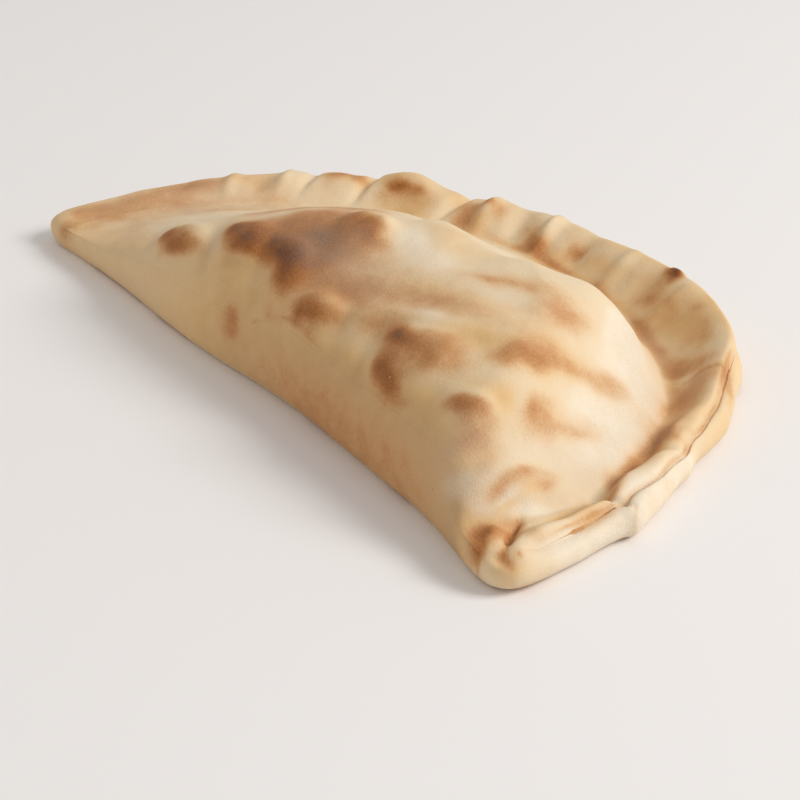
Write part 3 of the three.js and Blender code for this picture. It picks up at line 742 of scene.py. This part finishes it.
@dataclass(frozen=True)
class Baking:
    """What the oven and the flour left on every point of the crust, and some painted shade and highlight."""

    form: DoughForm
    warps: tuple[Span, ...] = ((14, 2.2), (5.5, 1.1))
    warp_seed: int = 40
    broad: Lumps = Lumps(60, 22)
    fine: Lumps = Lumps(61, 8)
    turned_under: Span = (0.4, 0.95)
    turned_up: Span = (0.72, 0.95)
    patch_fine: float = 0.6
    patch_edges: Span = (0.05, 0.9)
    under_toast: Span = (0.22, 0.5)
    under_flour: float = 0.45
    wall_toast: float = 0.35
    wall_angles: Span = (62, 80)
    wall_in: Span = (0.5, 4)
    # the valley's browning and its golden tan are partly painted shade at the dome's foot
    valley: Tone = Tone(0.20, 0.20)
    valley_at: Span = (-2.3, 2.8)
    valley_gold_and_shade: Span = (0.7, 0.9)
    inner_rim: Tone = Tone(0.08, 0.20, 0.10)
    inner_at: Span = (11, 9)
    inner_angles: Span = (40, 52)
    seam: Tone = Tone(0.20, 0.25)
    seam_width: float = 0.6
    crest: Tone = Tone(0.28, 0, 0.3)
    crest_width: float = 5.0
    crest_y: Span = (4, 14)
    flank_y: Span = (4, 17)
    # heights over which the flank's tan and browning, partly painted shade, fade out upwards
    low_flank_tan_and_shade: Span = (12, 36)
    toast_veil: float = 0.15
    line_behind: float = 1.0
    line_reach: float = 3.0
    line_hidden: float = 6.0
    line_above: Span = (6.2, 7.2)
    line_within: Span = (12, 16)

    def warped(self, points: Array) -> Array:
        """Shift points a little, so that patches get uneven edges.

        Args:
            points: Positions in millimetres, one row each.

        Returns:
            The shifted positions.
        """
        moved = points.copy()
        for i, (pace, size) in enumerate(self.warps):
            for axis in range(3):
                moved[:, axis] += size * Lumps(self.warp_seed + 3 * i + axis, pace)(points)
        return moved

    def spotted(self, spots: Sequence[tuple[float, ...]], points: Array) -> Array:
        """Give how strongly a table's patches together cover points, from 0 to 1."""
        return layered(*(np.clip(Spot(*row).cover(self.form, points), 0, 1) for row in spots))

    def valley_browning_and_shade(self, place: Place) -> Array:
        """Give how far places lie in the valley behind the dome; above 1 marks the most browning and painted
        shade.
        """
        shift, width = self.valley_at
        return hump(place.arc_in, VALLEY_IN(place.angle) + shift, width) * VALLEY_BROWNING_AND_SHADE(place.angle)

    def rim_toast_and_shade(self, place: Place, under: Array, fine: Array, broad: Array) -> Array:
        """Give the browning of the underside, the back wall, the valley, the rim and its lines.

        In the valley and along the lines it is partly painted shade.

        Args:
            place: Where to read it.
            under: How far each place is turned under.
            fine: The small lumps there.
            broad: The large lumps there.

        Returns:
            The share of browning and painted shade at each place, from 0 to 1.
        """
        patches = ease(broad + self.patch_fine * fine, *self.patch_edges)
        back_wall = ease(place.angle, *self.wall_angles) * (1 - ease(place.arc_in, *self.wall_in))
        inner = hump(place.arc_in, *self.inner_at) * ease(place.angle, *self.inner_angles)
        seam = hump(place.edge_in, SEAM_IN(place.angle), self.seam_width) * SEAM_SHARE(place.angle)
        return layered(
            under * (self.under_toast[0] + self.under_toast[1] * patches),
            self.wall_toast * back_wall * (1 - under) * patches,
            # painted shade at the dome's foot, mixed with browning
            self.valley_browning_and_shade(place) * self.valley.over(fine, broad),
            inner * self.inner_rim.over(fine, broad),
            seam * self.seam.over(fine, broad) * (1 - under),
            *(one.toast_and_shade * one.near(place) * (1 - under) for one in self.form.creases),
        )

    def from_seam(self, place: Place, height: Array) -> Array:
        """Give the way across the rim from the seam's thin line.

        Args:
            place: Where to read it.
            height: The height of each place.

        Returns:
            The way in millimetres, pushed out where the line doesn't show.
        """
        shown = SEAM_SHARE(place.angle) * ease(height, *self.line_above)
        shown *= 1 - ease(place.arc_in, *self.line_within)
        way = place.edge_in - SEAM_IN(place.angle) + self.line_behind
        way = np.clip(way, -self.line_reach, self.line_reach)
        return way + np.where(way < 0, -self.line_hidden, self.line_hidden) * (1 - shown)

    def fields(self, points: Array, upward: Array) -> dict[Bake, Array]:
        """Work out every field.

        Args:
            points: Positions in millimetres in the disc's frame.
            upward: The vertical share of the surface's normal there.

        Returns:
            The fields, one value for each point.
        """
        moved = self.warped(points)
        place = self.form.place(points[:, 0], points[:, 1])
        fine, broad = self.fine(points), self.broad(points)
        under = ease(-upward, *self.turned_under)
        flank = (1 - ease(place.y, *self.flank_y)) * (1 - under)
        # low is 1 at the bottom of the flank; the browning and tan it drives are partly painted shade
        low = 1 - ease(points[:, 2], *self.low_flank_tan_and_shade)
        toast_and_shade = layered(
            self.spotted(TOAST_SPOTS, moved),
            self.rim_toast_and_shade(place, under, fine, broad),
            flank * low * FLANK_TOAST_AND_SHADE(place.x),
        )
        crest = hump(place.arc_in, CREST_IN(place.angle), self.crest_width) * ease(place.y, *self.crest_y)
        # the flank's golden tint is partly a painted warm bounce, its tan towards the bottom partly painted
        # shade
        tan = FLANK_GOLD_AND_WARM_BOUNCE(place.x) + (1 - FLANK_GOLD_AND_WARM_BOUNCE(place.x)) * FLANK_TAN_AND_SHADE(place.x) * low
        # the valley's tan is partly painted shade at the dome's foot
        share, most = self.valley_gold_and_shade
        gold_and_shade = layered(
            self.spotted(GOLD_SPOTS, moved),
            crest * self.crest.over(fine, broad),
            flank * tan,
            np.clip(self.valley_browning_and_shade(place) * share, 0, most),
        )
        dusty = self.toast_veil * ease(upward, *self.turned_up) * toast_and_shade
        return {
            Bake.TOAST_AND_SHADE: toast_and_shade,
            Bake.GOLD_AND_SHADE: gold_and_shade,
            Bake.VEIL_AND_SHADE: layered(self.spotted(VEIL_SPOTS, moved), dusty),
            Bake.FLOUR_AND_HIGHLIGHT: layered(self.spotted(FLOUR_SPOTS, moved), self.under_flour * under),
            Bake.SEAM: self.from_seam(place, points[:, 2]),
        }


@dataclass
class DoughSkin:
    """The closed skin of baked dough that stands for the calzone's solid."""

    form: DoughForm = field(default_factory=DoughForm)
    centre: Span = (2.7, 70.3)
    pole: Span = (30.0, 72.0)
    disc_radius: float = 150.0
    sectors: tuple[tuple[float, float, int], ...] = ((0, 62, 260), (62, 180, 290))
    fold_stations: int = 170
    reach_between: Span = (20.0, 190.0)
    halvings: int = 40
    under_round: float = 7.0
    under_rings: int = 12
    under_spacing: float = 0.8
    tuck_steps: tuple[float, ...] = (7, 6, 4.6, 3.2, 1.9, 0.9, 0.3)
    edge_steps: tuple[float, ...] = (0, 0.25, 0.6, 1.1, 1.7)
    roll_steps: tuple[float, float, float] = (2.3, 14, 0.6)
    rim_reach: float = 32.0
    dome_rings: int = 56
    lumps: tuple[tuple[Lumps, float], ...] = (
        (Lumps(11, 16), 0.30), (Lumps(12, 7), 0.22), (Lumps(13, 3.1), 0.09),
    )
    lump_heights: Span = (0.5, 4.0)

    def stations(self) -> Array:
        """Give the way from the pole to every station of the outline.

        Returns:
            Unit directions, one row each.
        """
        aims: list[Array] = []
        for start, end, count in self.sectors:
            angle = np.radians(np.linspace(start, end, count, endpoint=False))
            aims.append(self.disc_radius * np.stack([np.cos(angle), np.sin(angle)], axis=1))
        x = np.linspace(-self.disc_radius, self.disc_radius, self.fold_stations, endpoint=False)
        aims.append(np.stack([x, np.zeros_like(x)], axis=1))
        away = np.concatenate(aims) - self.pole
        return away / np.linalg.norm(away, axis=1)[:, None]

    def reach(self, directions: Array) -> Array:
        """Find how far the outline lies from the pole.

        Args:
            directions: Unit directions, one row each.

        Returns:
            The distance along each of them.
        """
        near, far = (np.full(len(directions), end) for end in self.reach_between)
        for _ in range(self.halvings):
            middle = (near + far) / 2
            x, y = (self.pole + directions * middle[:, None]).T
            inside = self.form.place(x, y).edge_in > 0
            near, far = np.where(inside, middle, near), np.where(inside, far, middle)
        return near

    def rim_steps(self) -> Array:
        """Give the distances in of the rings over the rim: closest at the rolled edge."""
        inner = np.arange(self.roll_steps[1], self.rim_reach + 0.1, 1.0)
        return np.concatenate([self.edge_steps, np.arange(*self.roll_steps), inner])

    def rings(self) -> list[Array]:
        """Give rings of points from the middle of the underside, round the edge and up to the pole.

        Returns:
            One array of points for each ring, in millimetres.
        """
        directions = self.stations()
        reach = self.reach(directions)

        def ring(distance: Array, height: Callable[[Array, Array], Array]) -> Array:
            """Give one ring at a distance from the pole, lifted to its height."""
            x, y = (self.pole + directions * distance[:, None]).T
            return np.stack([x, y, height(x, y)], axis=1)

        every: list[Array] = []
        for i in range(1, self.under_rings):
            share = (i / self.under_rings) ** self.under_spacing
            every.append(ring((reach - self.under_round) * share, lambda x, y: np.zeros_like(x)))
        for step in self.tuck_steps:
            lift = 1 - math.sqrt(1 - (1 - step / self.under_round) ** 2)
            every.append(ring(reach - step, lambda x, y, lift=lift: self.form.widest(x, y) * lift))
        for step in self.rim_steps():
            every.append(ring(reach - step, self.form.crust if step > 0 else self.form.widest))
        for i in range(1, self.dome_rings):
            every.append(ring((reach - self.rim_reach) * (1 - i / self.dome_rings), self.form.crust))
        return every

    def closed_mesh(self) -> bpy.types.Mesh:
        """Build the closed mesh in millimetres, in the disc's frame.

        Returns:
            The mesh, with its faces pointing outwards.
        """
        every = self.rings()
        count, last = len(every[0]), len(every) - 1
        crown = self.form.crust(np.array([self.pole[0]]), np.array([self.pole[1]]))[0]
        points = np.concatenate([[(*self.pole, 0.0)], *every, [(*self.pole, crown)]])
        here = np.arange(count)
        after = (here + 1) % count
        quads = []
        for r in range(last):
            lower, upper = 1 + r * count, 1 + (r + 1) * count
            quads.append(np.stack([lower + here, lower + after, upper + after, upper + here], axis=1))
        top = 1 + last * count
        under = np.stack([np.zeros(count, int), 1 + after, 1 + here], axis=1)
        crown_fan = np.stack([top + here, top + after, np.full(count, len(points) - 1)], axis=1)
        faces = [*np.concatenate(quads).tolist(), *under.tolist(), *crown_fan.tolist()]
        mesh = bpy.data.meshes.new("baked_dough_skin")
        mesh.from_pydata(points.tolist(), [], faces)
        mesh.update()
        return mesh

    def roughen(self, mesh: bpy.types.Mesh) -> Array:
        """Move the skin along its normals by the dough's fine lumps.

        Args:
            mesh: The smooth skin, in millimetres.

        Returns:
            The points after the move, one row each.
        """
        count = len(mesh.vertices)
        points, normals = np.empty(count * 3), np.empty(count * 3)
        mesh.vertices.foreach_get("co", points)
        mesh.vertices.foreach_get("normal", normals)
        points, normals = points.reshape(-1, 3), normals.reshape(-1, 3)
        height = sum(size * lumps(points) for lumps, size in self.lumps)
        loose = ease(points[:, 2], *self.lump_heights)
        return points + normals * (height * loose)[:, None]

    def build(self, finish: BakedCrust) -> bpy.types.Object:
        """Build the dressed skin.

        Args:
            finish: The finish of baked crust.

        Returns:
            The skin's object.
        """
        mesh = self.closed_mesh()
        points = self.roughen(mesh)
        mesh.vertices.foreach_set("co", points.ravel())
        mesh.update()
        normals = np.empty(len(points) * 3)
        mesh.vertices.foreach_get("normal", normals)
        for bake, values in Baking(self.form).fields(points, normals[2::3]).items():
            layer = mesh.attributes.new(bake.value, "FLOAT", "POINT")
            layer.data.foreach_set("value", values.astype(np.float32))
        row = (points - (*self.centre, 0)) * MM
        mesh.vertices.foreach_set("co", row.ravel())
        mesh.update()
        mesh.shade_smooth()
        mesh.materials.append(finish.material())
        skin = bpy.data.objects.new("baked_dough_skin", mesh)
        bpy.context.scene.collection.objects.link(skin)
        return skin


# ---- nodes ----


class Shade:
    """One node socket; arithmetic on it adds Math nodes."""

    def __init__(self, maker: NodeMaker, socket: bpy.types.NodeSocket) -> None:
        """Wrap an output socket of a tree."""
        self.maker = maker
        self.socket = socket

    def also(self, output: int | str) -> Shade:
        """Give another output of the same node."""
        return Shade(self.maker, self.socket.node.outputs[output])

    def math(self, operation: str, first: Value, second: Value) -> Shade:
        """Add one Math node."""
        return self.maker.node("ShaderNodeMath", {"operation": operation}, {0: first, 1: second})

    def __add__(self, other: Value) -> Shade:
        """Add."""
        return self.math("ADD", self, other)

    __radd__ = __add__

    def __mul__(self, other: Value) -> Shade:
        """Multiply."""
        return self.math("MULTIPLY", self, other)

    __rmul__ = __mul__

    def __sub__(self, other: Value) -> Shade:
        """Subtract the other value."""
        return self.math("SUBTRACT", self, other)

    def __rsub__(self, other: Value) -> Shade:
        """Subtract this socket from the other value."""
        return self.math("SUBTRACT", other, self)

    def spread(self, even: float, change: float) -> Shade:
        """Give an even value that changes with this socket."""
        return self * change + even

    def step(self, low: float, high: float) -> Shade:
        """Rise smoothly from 0 at low to 1 at high."""
        settings = {"interpolation_type": "SMOOTHSTEP", "clamp": True}
        return self.maker.node("ShaderNodeMapRange", settings, {0: self, 1: low, 2: high})


Value = Shade | float


class NodeMaker:
    """Adds nodes to one tree."""

    def __init__(self, tree: bpy.types.NodeTree) -> None:
        """Take the tree."""
        self.tree = tree

    def node(
        self,
        kind: str,
        settings: dict[str, object] | None = None,
        sockets: dict[int | str, object] | None = None,
        output: int | str = 0,
    ) -> Shade | None:
        """Add one node.

        Args:
            kind: The node's type.
            settings: Its settings, with a ramp's stops under "stops"; they are set first.
            sockets: The values or links of its sockets.
            output: The output to hand back.

        Returns:
            That output's socket, or nothing for a node without outputs.
        """
        node = self.tree.nodes.new(kind)
        for name, value in (settings or {}).items():
            if name == "stops":
                self.set_stops(node.color_ramp, value)
            else:
                setattr(node, name, value)
        for name, value in (sockets or {}).items():
            if isinstance(value, Shade):
                self.tree.links.new(value.socket, node.inputs[name])
            elif isinstance(value, tuple) and node.inputs[name].type == "RGBA":
                node.inputs[name].default_value = (*value, 1.0)
            else:
                node.inputs[name].default_value = value
        return Shade(self, node.outputs[output]) if node.outputs else None

    @staticmethod
    def set_stops(ramp: bpy.types.ColorRamp, stops: Sequence[tuple[float, Colour]]) -> None:
        """Give a ramp its stops.

        Args:
            ramp: The ramp.
            stops: Positions and colours, from low to high.
        """
        while len(ramp.elements) < len(stops):
            ramp.elements.new(1.0)
        for element, (position, colour) in zip(ramp.elements, stops):
            element.position = position
            element.color = (*colour, 1.0)


class MaterialMaker(NodeMaker):
    """Adds nodes to one new material."""

    def __init__(self, name: str) -> None:
        """Start a material with an empty tree.

        Args:
            name: The material's name.
        """
        self.material = bpy.data.materials.new(name)
        self.material.use_nodes = True
        super().__init__(self.material.node_tree)
        self.tree.nodes.clear()

    def position(self) -> Shade:
        """Give the Object coordinates."""
        return self.node("ShaderNodeTexCoord", output="Object")

    def attribute(self, name: str) -> Shade:
        """Give a float attribute of the mesh."""
        settings = {"attribute_type": "GEOMETRY", "attribute_name": name}
        return self.node("ShaderNodeAttribute", settings, output="Fac")

    def noise(self, where: Shade, size: float, detail: float = 2.0, rough: float = 0.5) -> Shade:
        """Give noise between about -0.5 and 0.5, its features size metres wide."""
        sockets = {"Vector": where, "Scale": 1 / size, "Detail": detail, "Roughness": rough}
        return self.node("ShaderNodeTexNoise", None, sockets) - 0.5

    def mix(self, share: Value, first: object, second: object) -> Shade:
        """Mix two colours; the share says how much of the second shows."""
        settings = {"data_type": "RGBA", "blend_type": "MIX", "clamp_factor": True}
        return self.node("ShaderNodeMix", settings, {0: share, 6: first, 7: second}, output=2)

    def finish(self, sockets: dict[int | str, object]) -> bpy.types.Material:
        """End the tree in the main shader.

        Args:
            sockets: The values or links of the shader's sockets.

        Returns:
            The finished material.
        """
        shader = self.node("ShaderNodeBsdfPrincipled", None, sockets)
        self.node("ShaderNodeOutputMaterial", None, {"Surface": shader})
        return self.material


# ---- finishes ----


@dataclass(frozen=True)
class BakedCrust:
    """Matte baked wheat crust: pale dough that toasts to tan and brown, with a floury veil and painted
    shade.
    """

    bake_stops: tuple[tuple[float, Colour], ...] = (
        (0.10, from_srgb(228, 192, 144)),
        (0.25, from_srgb(218, 174, 122)),
        (0.40, from_srgb(203, 150, 98)),
        (0.60, from_srgb(177, 114, 56)),
        (0.80, from_srgb(147, 87, 37)),
        (1.00, from_srgb(102, 56, 25)),
    )
    pale: Colour = from_srgb(232, 212, 179)
    golden: Colour = from_srgb(227, 184, 120)
    tanned_and_shaded: Colour = from_srgb(184, 144, 96)
    veil: Colour = from_srgb(220, 199, 174)
    floury: Colour = from_srgb(240, 230, 212)
    flour: Colour = from_srgb(248, 241, 228)
    roughness: float = 0.7
    roughness_change: float = 0.12
    mottle_size: float = 0.0065
    grain_size: float = 0.0008
    speck_size: float = 0.00045
    cloud_size: float = 0.03
    mottled: Span = (0.10, 0.5)
    grained: Span = (0.06, 0.35)
    clouded: float = 0.10
    seam_narrow: float = 10.0
    seam_heat: Span = (0.26, 0.9)
    browned_range: Span = (-0.06, 0.44)
    gilt_and_shade: Span = (1.0, 0.5)
    gilt_range: Span = (0.0, 0.7)
    gilt_most: float = 0.92
    tan_range: Span = (0.45, 1.0)
    film: Span = (0.6, 0.8)
    film_range: Span = (0.0, 0.25)
    haze: Span = (0.4, 0.4)
    haze_dust: float = 0.3
    speck_lift: float = 0.3
    speck_range: Span = (0.16, 0.34)
    dust_range: Span = (0.15, 0.5)
    dust_most: float = 0.5
    grain_relief: Span = (0.5, 0.6)
    mottle_relief: float = 1.2
    dust_relief: float = 0.8
    seam_relief: float = 0.8
    bump_strength: float = 0.5
    bump_distance: float = 0.0005

    def material(self) -> bpy.types.Material:
        """Build the crust's material.

        Returns:
            The material.
        """
        make = MaterialMaker("baked_crust")
        where = make.position()
        toast_and_shade, gold_and_shade, veil, flour, from_seam = (make.attribute(bake.value) for bake in Bake)
        mottle = make.noise(where, self.mottle_size, 3, 0.55)
        grain = make.noise(where, self.grain_size, 2, 0.6)
        speck = make.noise(where, self.speck_size, 1)
        seam = (1 - from_seam * from_seam * self.seam_narrow).step(0.0, 1.0)
        # the browning and golden shares below also lay the painted shade and warm bounce that the attributes
        # hold
        heat_and_shade = toast_and_shade + mottle * toast_and_shade.spread(*self.mottled) + grain * toast_and_shade.spread(*self.grained)
        heat_and_shade = heat_and_shade + make.noise(where, self.cloud_size) * self.clouded
        heat_and_shade = heat_and_shade + seam * mottle.spread(*self.seam_heat)
        gilt_and_shade = gold_and_shade * mottle.spread(*self.gilt_and_shade)
        gilded_and_shaded = make.mix(gilt_and_shade.step(*self.tan_range), self.golden, self.tanned_and_shaded)
        colour = make.mix(gilt_and_shade.step(*self.gilt_range) * self.gilt_most, self.pale, gilded_and_shaded)
        powder = flour.step(*self.film_range) * mottle.spread(*self.film)
        colour = make.mix(powder.step(0.0, 1.0), colour, self.floury)
        browned_and_shaded = make.node("ShaderNodeValToRGB", {"stops": self.bake_stops}, {0: heat_and_shade})
        colour = make.mix(heat_and_shade.step(*self.browned_range), colour, browned_and_shaded)
        colour = make.mix(veil * mottle.spread(*self.haze), colour, self.veil)
        loose = flour + veil * self.haze_dust
        dust = (speck + loose * self.speck_lift).step(*self.speck_range) * loose.step(*self.dust_range)
        colour = make.mix(dust * self.dust_most, colour, self.flour)
        relief = grain * toast_and_shade.spread(*self.grain_relief) + mottle * self.mottle_relief
        relief = relief + dust * self.dust_relief - seam * self.seam_relief
        sockets = {"Strength": self.bump_strength, "Distance": self.bump_distance, "Height": relief}
        return make.finish({
            "Base Color": colour,
            "Roughness": self.roughness - toast_and_shade * self.roughness_change + flour * self.roughness_change,
            "Specular IOR Level": 0.35,
            "Subsurface Weight": 0.08,
            "Subsurface Radius": (0.004, 0.0024, 0.0012),
            "Subsurface Scale": 1.0,
            "Normal": make.node("ShaderNodeBump", None, sockets),
        })


@dataclass(frozen=True)
class DryGrain:
    """The finish of loose grains: one colour with a slight change from grain to grain."""

    name: str
    light: Colour
    dark: Colour
    roughness: float
    noise_size: float = 0.002
    contrast: float = 2.4

    def material(self) -> bpy.types.Material:
        """Build the grains' material.

        Returns:
            The material.
        """
        make = MaterialMaker(self.name)
        share = make.noise(make.position(), self.noise_size, 1) * self.contrast + 0.5
        colour = make.mix(share.step(0, 1), self.light, self.dark)
        return make.finish({"Base Color": colour, "Roughness": self.roughness, "Specular IOR Level": 0.3})


# ---- scattered grains ----


@dataclass(frozen=True)
class Scatter:
    """Small grains strewn over the dough skin, thickest where an attribute is high."""

    name: str
    bake: Bake
    finish: DryGrain
    density: float
    size: Span
    shape: tuple[float, float, float]
    seed: int
    least: float = 0.0
    clearance: float = 0.6
    tilt: float = 0.5

    def inputs(self) -> dict[str, float | int]:
        """Give the values of the node tree's named inputs."""
        smallest, largest = (size * MM for size in self.size)
        return {"Density": self.density, "Smallest": smallest, "Largest": largest, "Seed": self.seed}

    def tree(self, material: bpy.types.Material) -> bpy.types.NodeTree:
        """Build the node tree that strews the grains.

        Args:
            material: The grains' material.

        Returns:
            The tree, with its sizes as named inputs.
        """
        tree = bpy.data.node_groups.new(self.name, "GeometryNodeTree")
        for way in ("INPUT", "OUTPUT"):
            tree.interface.new_socket("Geometry", in_out=way, socket_type="NodeSocketGeometry")
        for label, value in self.inputs().items():
            kind = "NodeSocketInt" if isinstance(value, int) else "NodeSocketFloat"
            tree.interface.new_socket(label, in_out="INPUT", socket_type=kind)
        make = NodeMaker(tree)

        def given(label: str) -> Shade:
            """Give one of the tree's inputs."""
            return make.node("NodeGroupInput", output=label)

        named = {"Name": self.bake.value}
        cover = make.node("GeometryNodeInputNamedAttribute", {"data_type": "FLOAT"}, named, "Attribute")
        spread = make.node("ShaderNodeMapRange", {"clamp": True}, {"Value": cover, "From Min": self.least})
        place = make.node("GeometryNodeInputPosition")
        height = make.node("ShaderNodeSeparateXYZ", None, {"Vector": place}, "Z")
        above = {"data_type": "FLOAT", "operation": "GREATER_THAN"}
        strewn = make.node("GeometryNodeDistributePointsOnFaces", {"distribute_method": "RANDOM"}, {
            "Mesh": given("Geometry"),
            "Selection": make.node("FunctionNodeCompare", above, {0: height, 1: self.clearance * MM}),
            "Density": spread * given("Density"),
            "Seed": given("Seed"),
        }, "Points")
        grain = make.node("GeometryNodeMeshIcoSphere", None, {"Radius": 1.0, "Subdivisions": 1}, "Mesh")
        turns = {0: (-self.tilt, -self.tilt, 0), 1: (self.tilt, self.tilt, 2 * math.pi)}
        turn = make.node("FunctionNodeRandomValue", {"data_type": "FLOAT_VECTOR"}, turns)
        sizes = {2: given("Smallest"), 3: given("Largest")}
        rotation = {0: strewn.also("Rotation"), 1: turn}
        placed = make.node("GeometryNodeInstanceOnPoints", None, {
            "Points": strewn,
            "Instance": make.node("GeometryNodeTransform", None, {"Geometry": grain, "Scale": self.shape}),
            "Rotation": make.node("FunctionNodeRotateRotation", {"rotation_space": "LOCAL"}, rotation),
            "Scale": make.node("FunctionNodeRandomValue", {"data_type": "FLOAT"}, sizes, 1),
        })
        real = make.node("GeometryNodeRealizeInstances", None, {"Geometry": placed})
        dressed = make.node("GeometryNodeSetMaterial", None, {"Geometry": real, "Material": material})
        make.node("NodeGroupOutput", None, {0: dressed})
        return tree

    def build(self, skin: bpy.types.Object) -> bpy.types.Object:
        """Strew the grains over the skin and bake them to a plain mesh.

        Args:
            skin: The dough skin, with its attributes.

        Returns:
            The grains' object.
        """
        tree = self.tree(self.finish.material())
        grains = bpy.data.objects.new(self.name, skin.data.copy())
        bpy.context.scene.collection.objects.link(grains)
        modifier = grains.modifiers.new("strew", "NODES")
        modifier.node_group = tree
        values = self.inputs()
        for item in tree.interface.items_tree:
            if item.in_out == "INPUT" and item.name in values:
                modifier[item.identifier] = values[item.name]
        graph = bpy.context.evaluated_depsgraph_get()
        baked = bpy.data.meshes.new_from_object(grains.evaluated_get(graph))
        grains.modifiers.remove(modifier)
        grains.data = baked
        baked.name = self.name
        return grains


# ---- the studio ----


@dataclass(frozen=True)
class Softbox:
    """One square soft light, placed from the object's middle along the camera's axes."""

    name: str
    right: float
    forward: float
    up: float
    size: float
    watts: float
    colour: Colour


@dataclass(frozen=True)
class Studio:
    """A plain pale floor, soft light and the camera."""

    middle: tuple[float, float, float] = (0.0, 0.0, 0.02)
    eye: tuple[float, float, float] = (0.5451, -0.3751, 0.3162)
    sight: tuple[float, float, float] = (-0.7414, 0.4908, -0.4576)
    lens: float = 99.0
    sensor: float = 36.0
    clip_start: float = 0.01
    floor_half: float = 6.0
    floor_colour: Colour = from_srgb(246, 245, 246)
    floor_shade: float = 0.985
    floor_cloud: float = 0.4
    sky_colour: Colour = (1.0, 0.97, 0.94)
    sky_strength: float = 0.5
    softboxes: tuple[Softbox, ...] = (
        Softbox("key_softbox", 1.86, -0.33, 1.48, 1.0, 38, (1.0, 0.97, 0.93)),
        Softbox("fill_softbox", -1.7, 0.3, 0.9, 1.4, 2.0, (1.0, 0.80, 0.55)),
    )

    def build_floor(self) -> None:
        """Lay the floor under the object."""
        half = self.floor_half
        corners = [(-half, -half, 0), (half, -half, 0), (half, half, 0), (-half, half, 0)]
        mesh = bpy.data.meshes.new("floor")
        mesh.from_pydata(corners, [], [(0, 1, 2, 3)])
        make = MaterialMaker("pale_floor")
        cloud = make.noise(make.position(), self.floor_cloud)
        shaded = tuple(c * self.floor_shade for c in self.floor_colour)
        tone = make.mix(cloud * 0.5 + 0.5, self.floor_colour, shaded)
        mesh.materials.append(make.finish({"Base Color": tone, "Roughness": 0.6, "Specular IOR Level": 0.2}))
        floor = bpy.data.objects.new("floor", mesh)
        bpy.context.scene.collection.objects.link(floor)

    def build_lights(self) -> None:
        """Hang the softboxes and set the even light of the room."""
        scene = bpy.context.scene
        forward = Vector((self.sight[0], self.sight[1], 0)).normalized()
        right = forward.cross(Vector((0, 0, 1)))
        for box in self.softboxes:
            light = bpy.data.lights.new(box.name, "AREA")
            light.size, light.energy, light.color = box.size, box.watts, box.colour
            lamp = bpy.data.objects.new(box.name, light)
            scene.collection.objects.link(lamp)
            away = right * box.right + forward * box.forward + Vector((0, 0, box.up))
            lamp.location = Vector(self.middle) + away
            lamp.rotation_euler = (-away).to_track_quat("-Z", "Y").to_euler()
        world = bpy.data.worlds.new("room")
        world.use_nodes = True
        sky = world.node_tree.nodes["Background"].inputs
        sky[0].default_value = (*self.sky_colour, 1)
        sky[1].default_value = self.sky_strength
        scene.world = world
        scene.view_settings.view_transform = "Standard"

    def build_camera(self) -> None:
        """Set up the camera."""
        scene = bpy.context.scene
        data = bpy.data.cameras.new("camera")
        data.lens, data.sensor_width, data.clip_start = self.lens, self.sensor, self.clip_start
        camera = bpy.data.objects.new("camera", data)
        scene.collection.objects.link(camera)
        ahead = Vector(self.sight).normalized()
        right = ahead.cross(Vector((0, 0, 1))).normalized()
        turn = Matrix((right, right.cross(ahead), -ahead)).transposed()
        camera.matrix_world = Matrix.Translation(self.eye) @ turn.to_4x4()
        scene.camera = camera

    def build(self) -> None:
        """Build the whole studio."""
        self.build_floor()
        self.build_lights()
        self.build_camera()


# ---- the whole ----


FLOUR_DUST = DryGrain("flour_dust", from_srgb(250, 243, 230), from_srgb(228, 208, 176), 0.85)
CHAR = DryGrain("char", from_srgb(120, 76, 44), from_srgb(58, 36, 22), 0.7)
SEMOLINA = DryGrain("semolina", from_srgb(236, 206, 150), from_srgb(196, 146, 88), 0.75)

SCATTERS = (
    Scatter("flour_grains", Bake.FLOUR_AND_HIGHLIGHT, FLOUR_DUST, 300000.0, (0.08, 0.18), (1, 1, 0.7), 3, 0.25),
    Scatter("char_specks", Bake.TOAST_AND_SHADE, CHAR, 3500.0, (0.12, 0.30), (1, 0.7, 0.3), 5, 0.15),
    Scatter("toasted_crumbs", Bake.GOLD_AND_SHADE, SEMOLINA, 5000.0, (0.15, 0.32), (1, 0.8, 0.6), 7, 0.15),
)


def attach(piece: bpy.types.Object) -> None:
    """Tie a finished piece to the object's one body and report it.

    Args:
        piece: The piece.
    """
    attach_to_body(piece, BODY)
    LOG.info("%s: %d faces", piece.name, len(piece.data.polygons))


def main() -> None:
    """Load the frame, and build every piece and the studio."""
    logging.basicConfig(level=logging.INFO, format="%(name)s: %(message)s")
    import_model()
    skin = DoughSkin().build(BakedCrust())
    attach(skin)
    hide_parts(DOUGH_NODE)
    for scatter in SCATTERS:
        attach(scatter.build(skin))
    Studio().build()


if __name__ == "__main__":
    main()
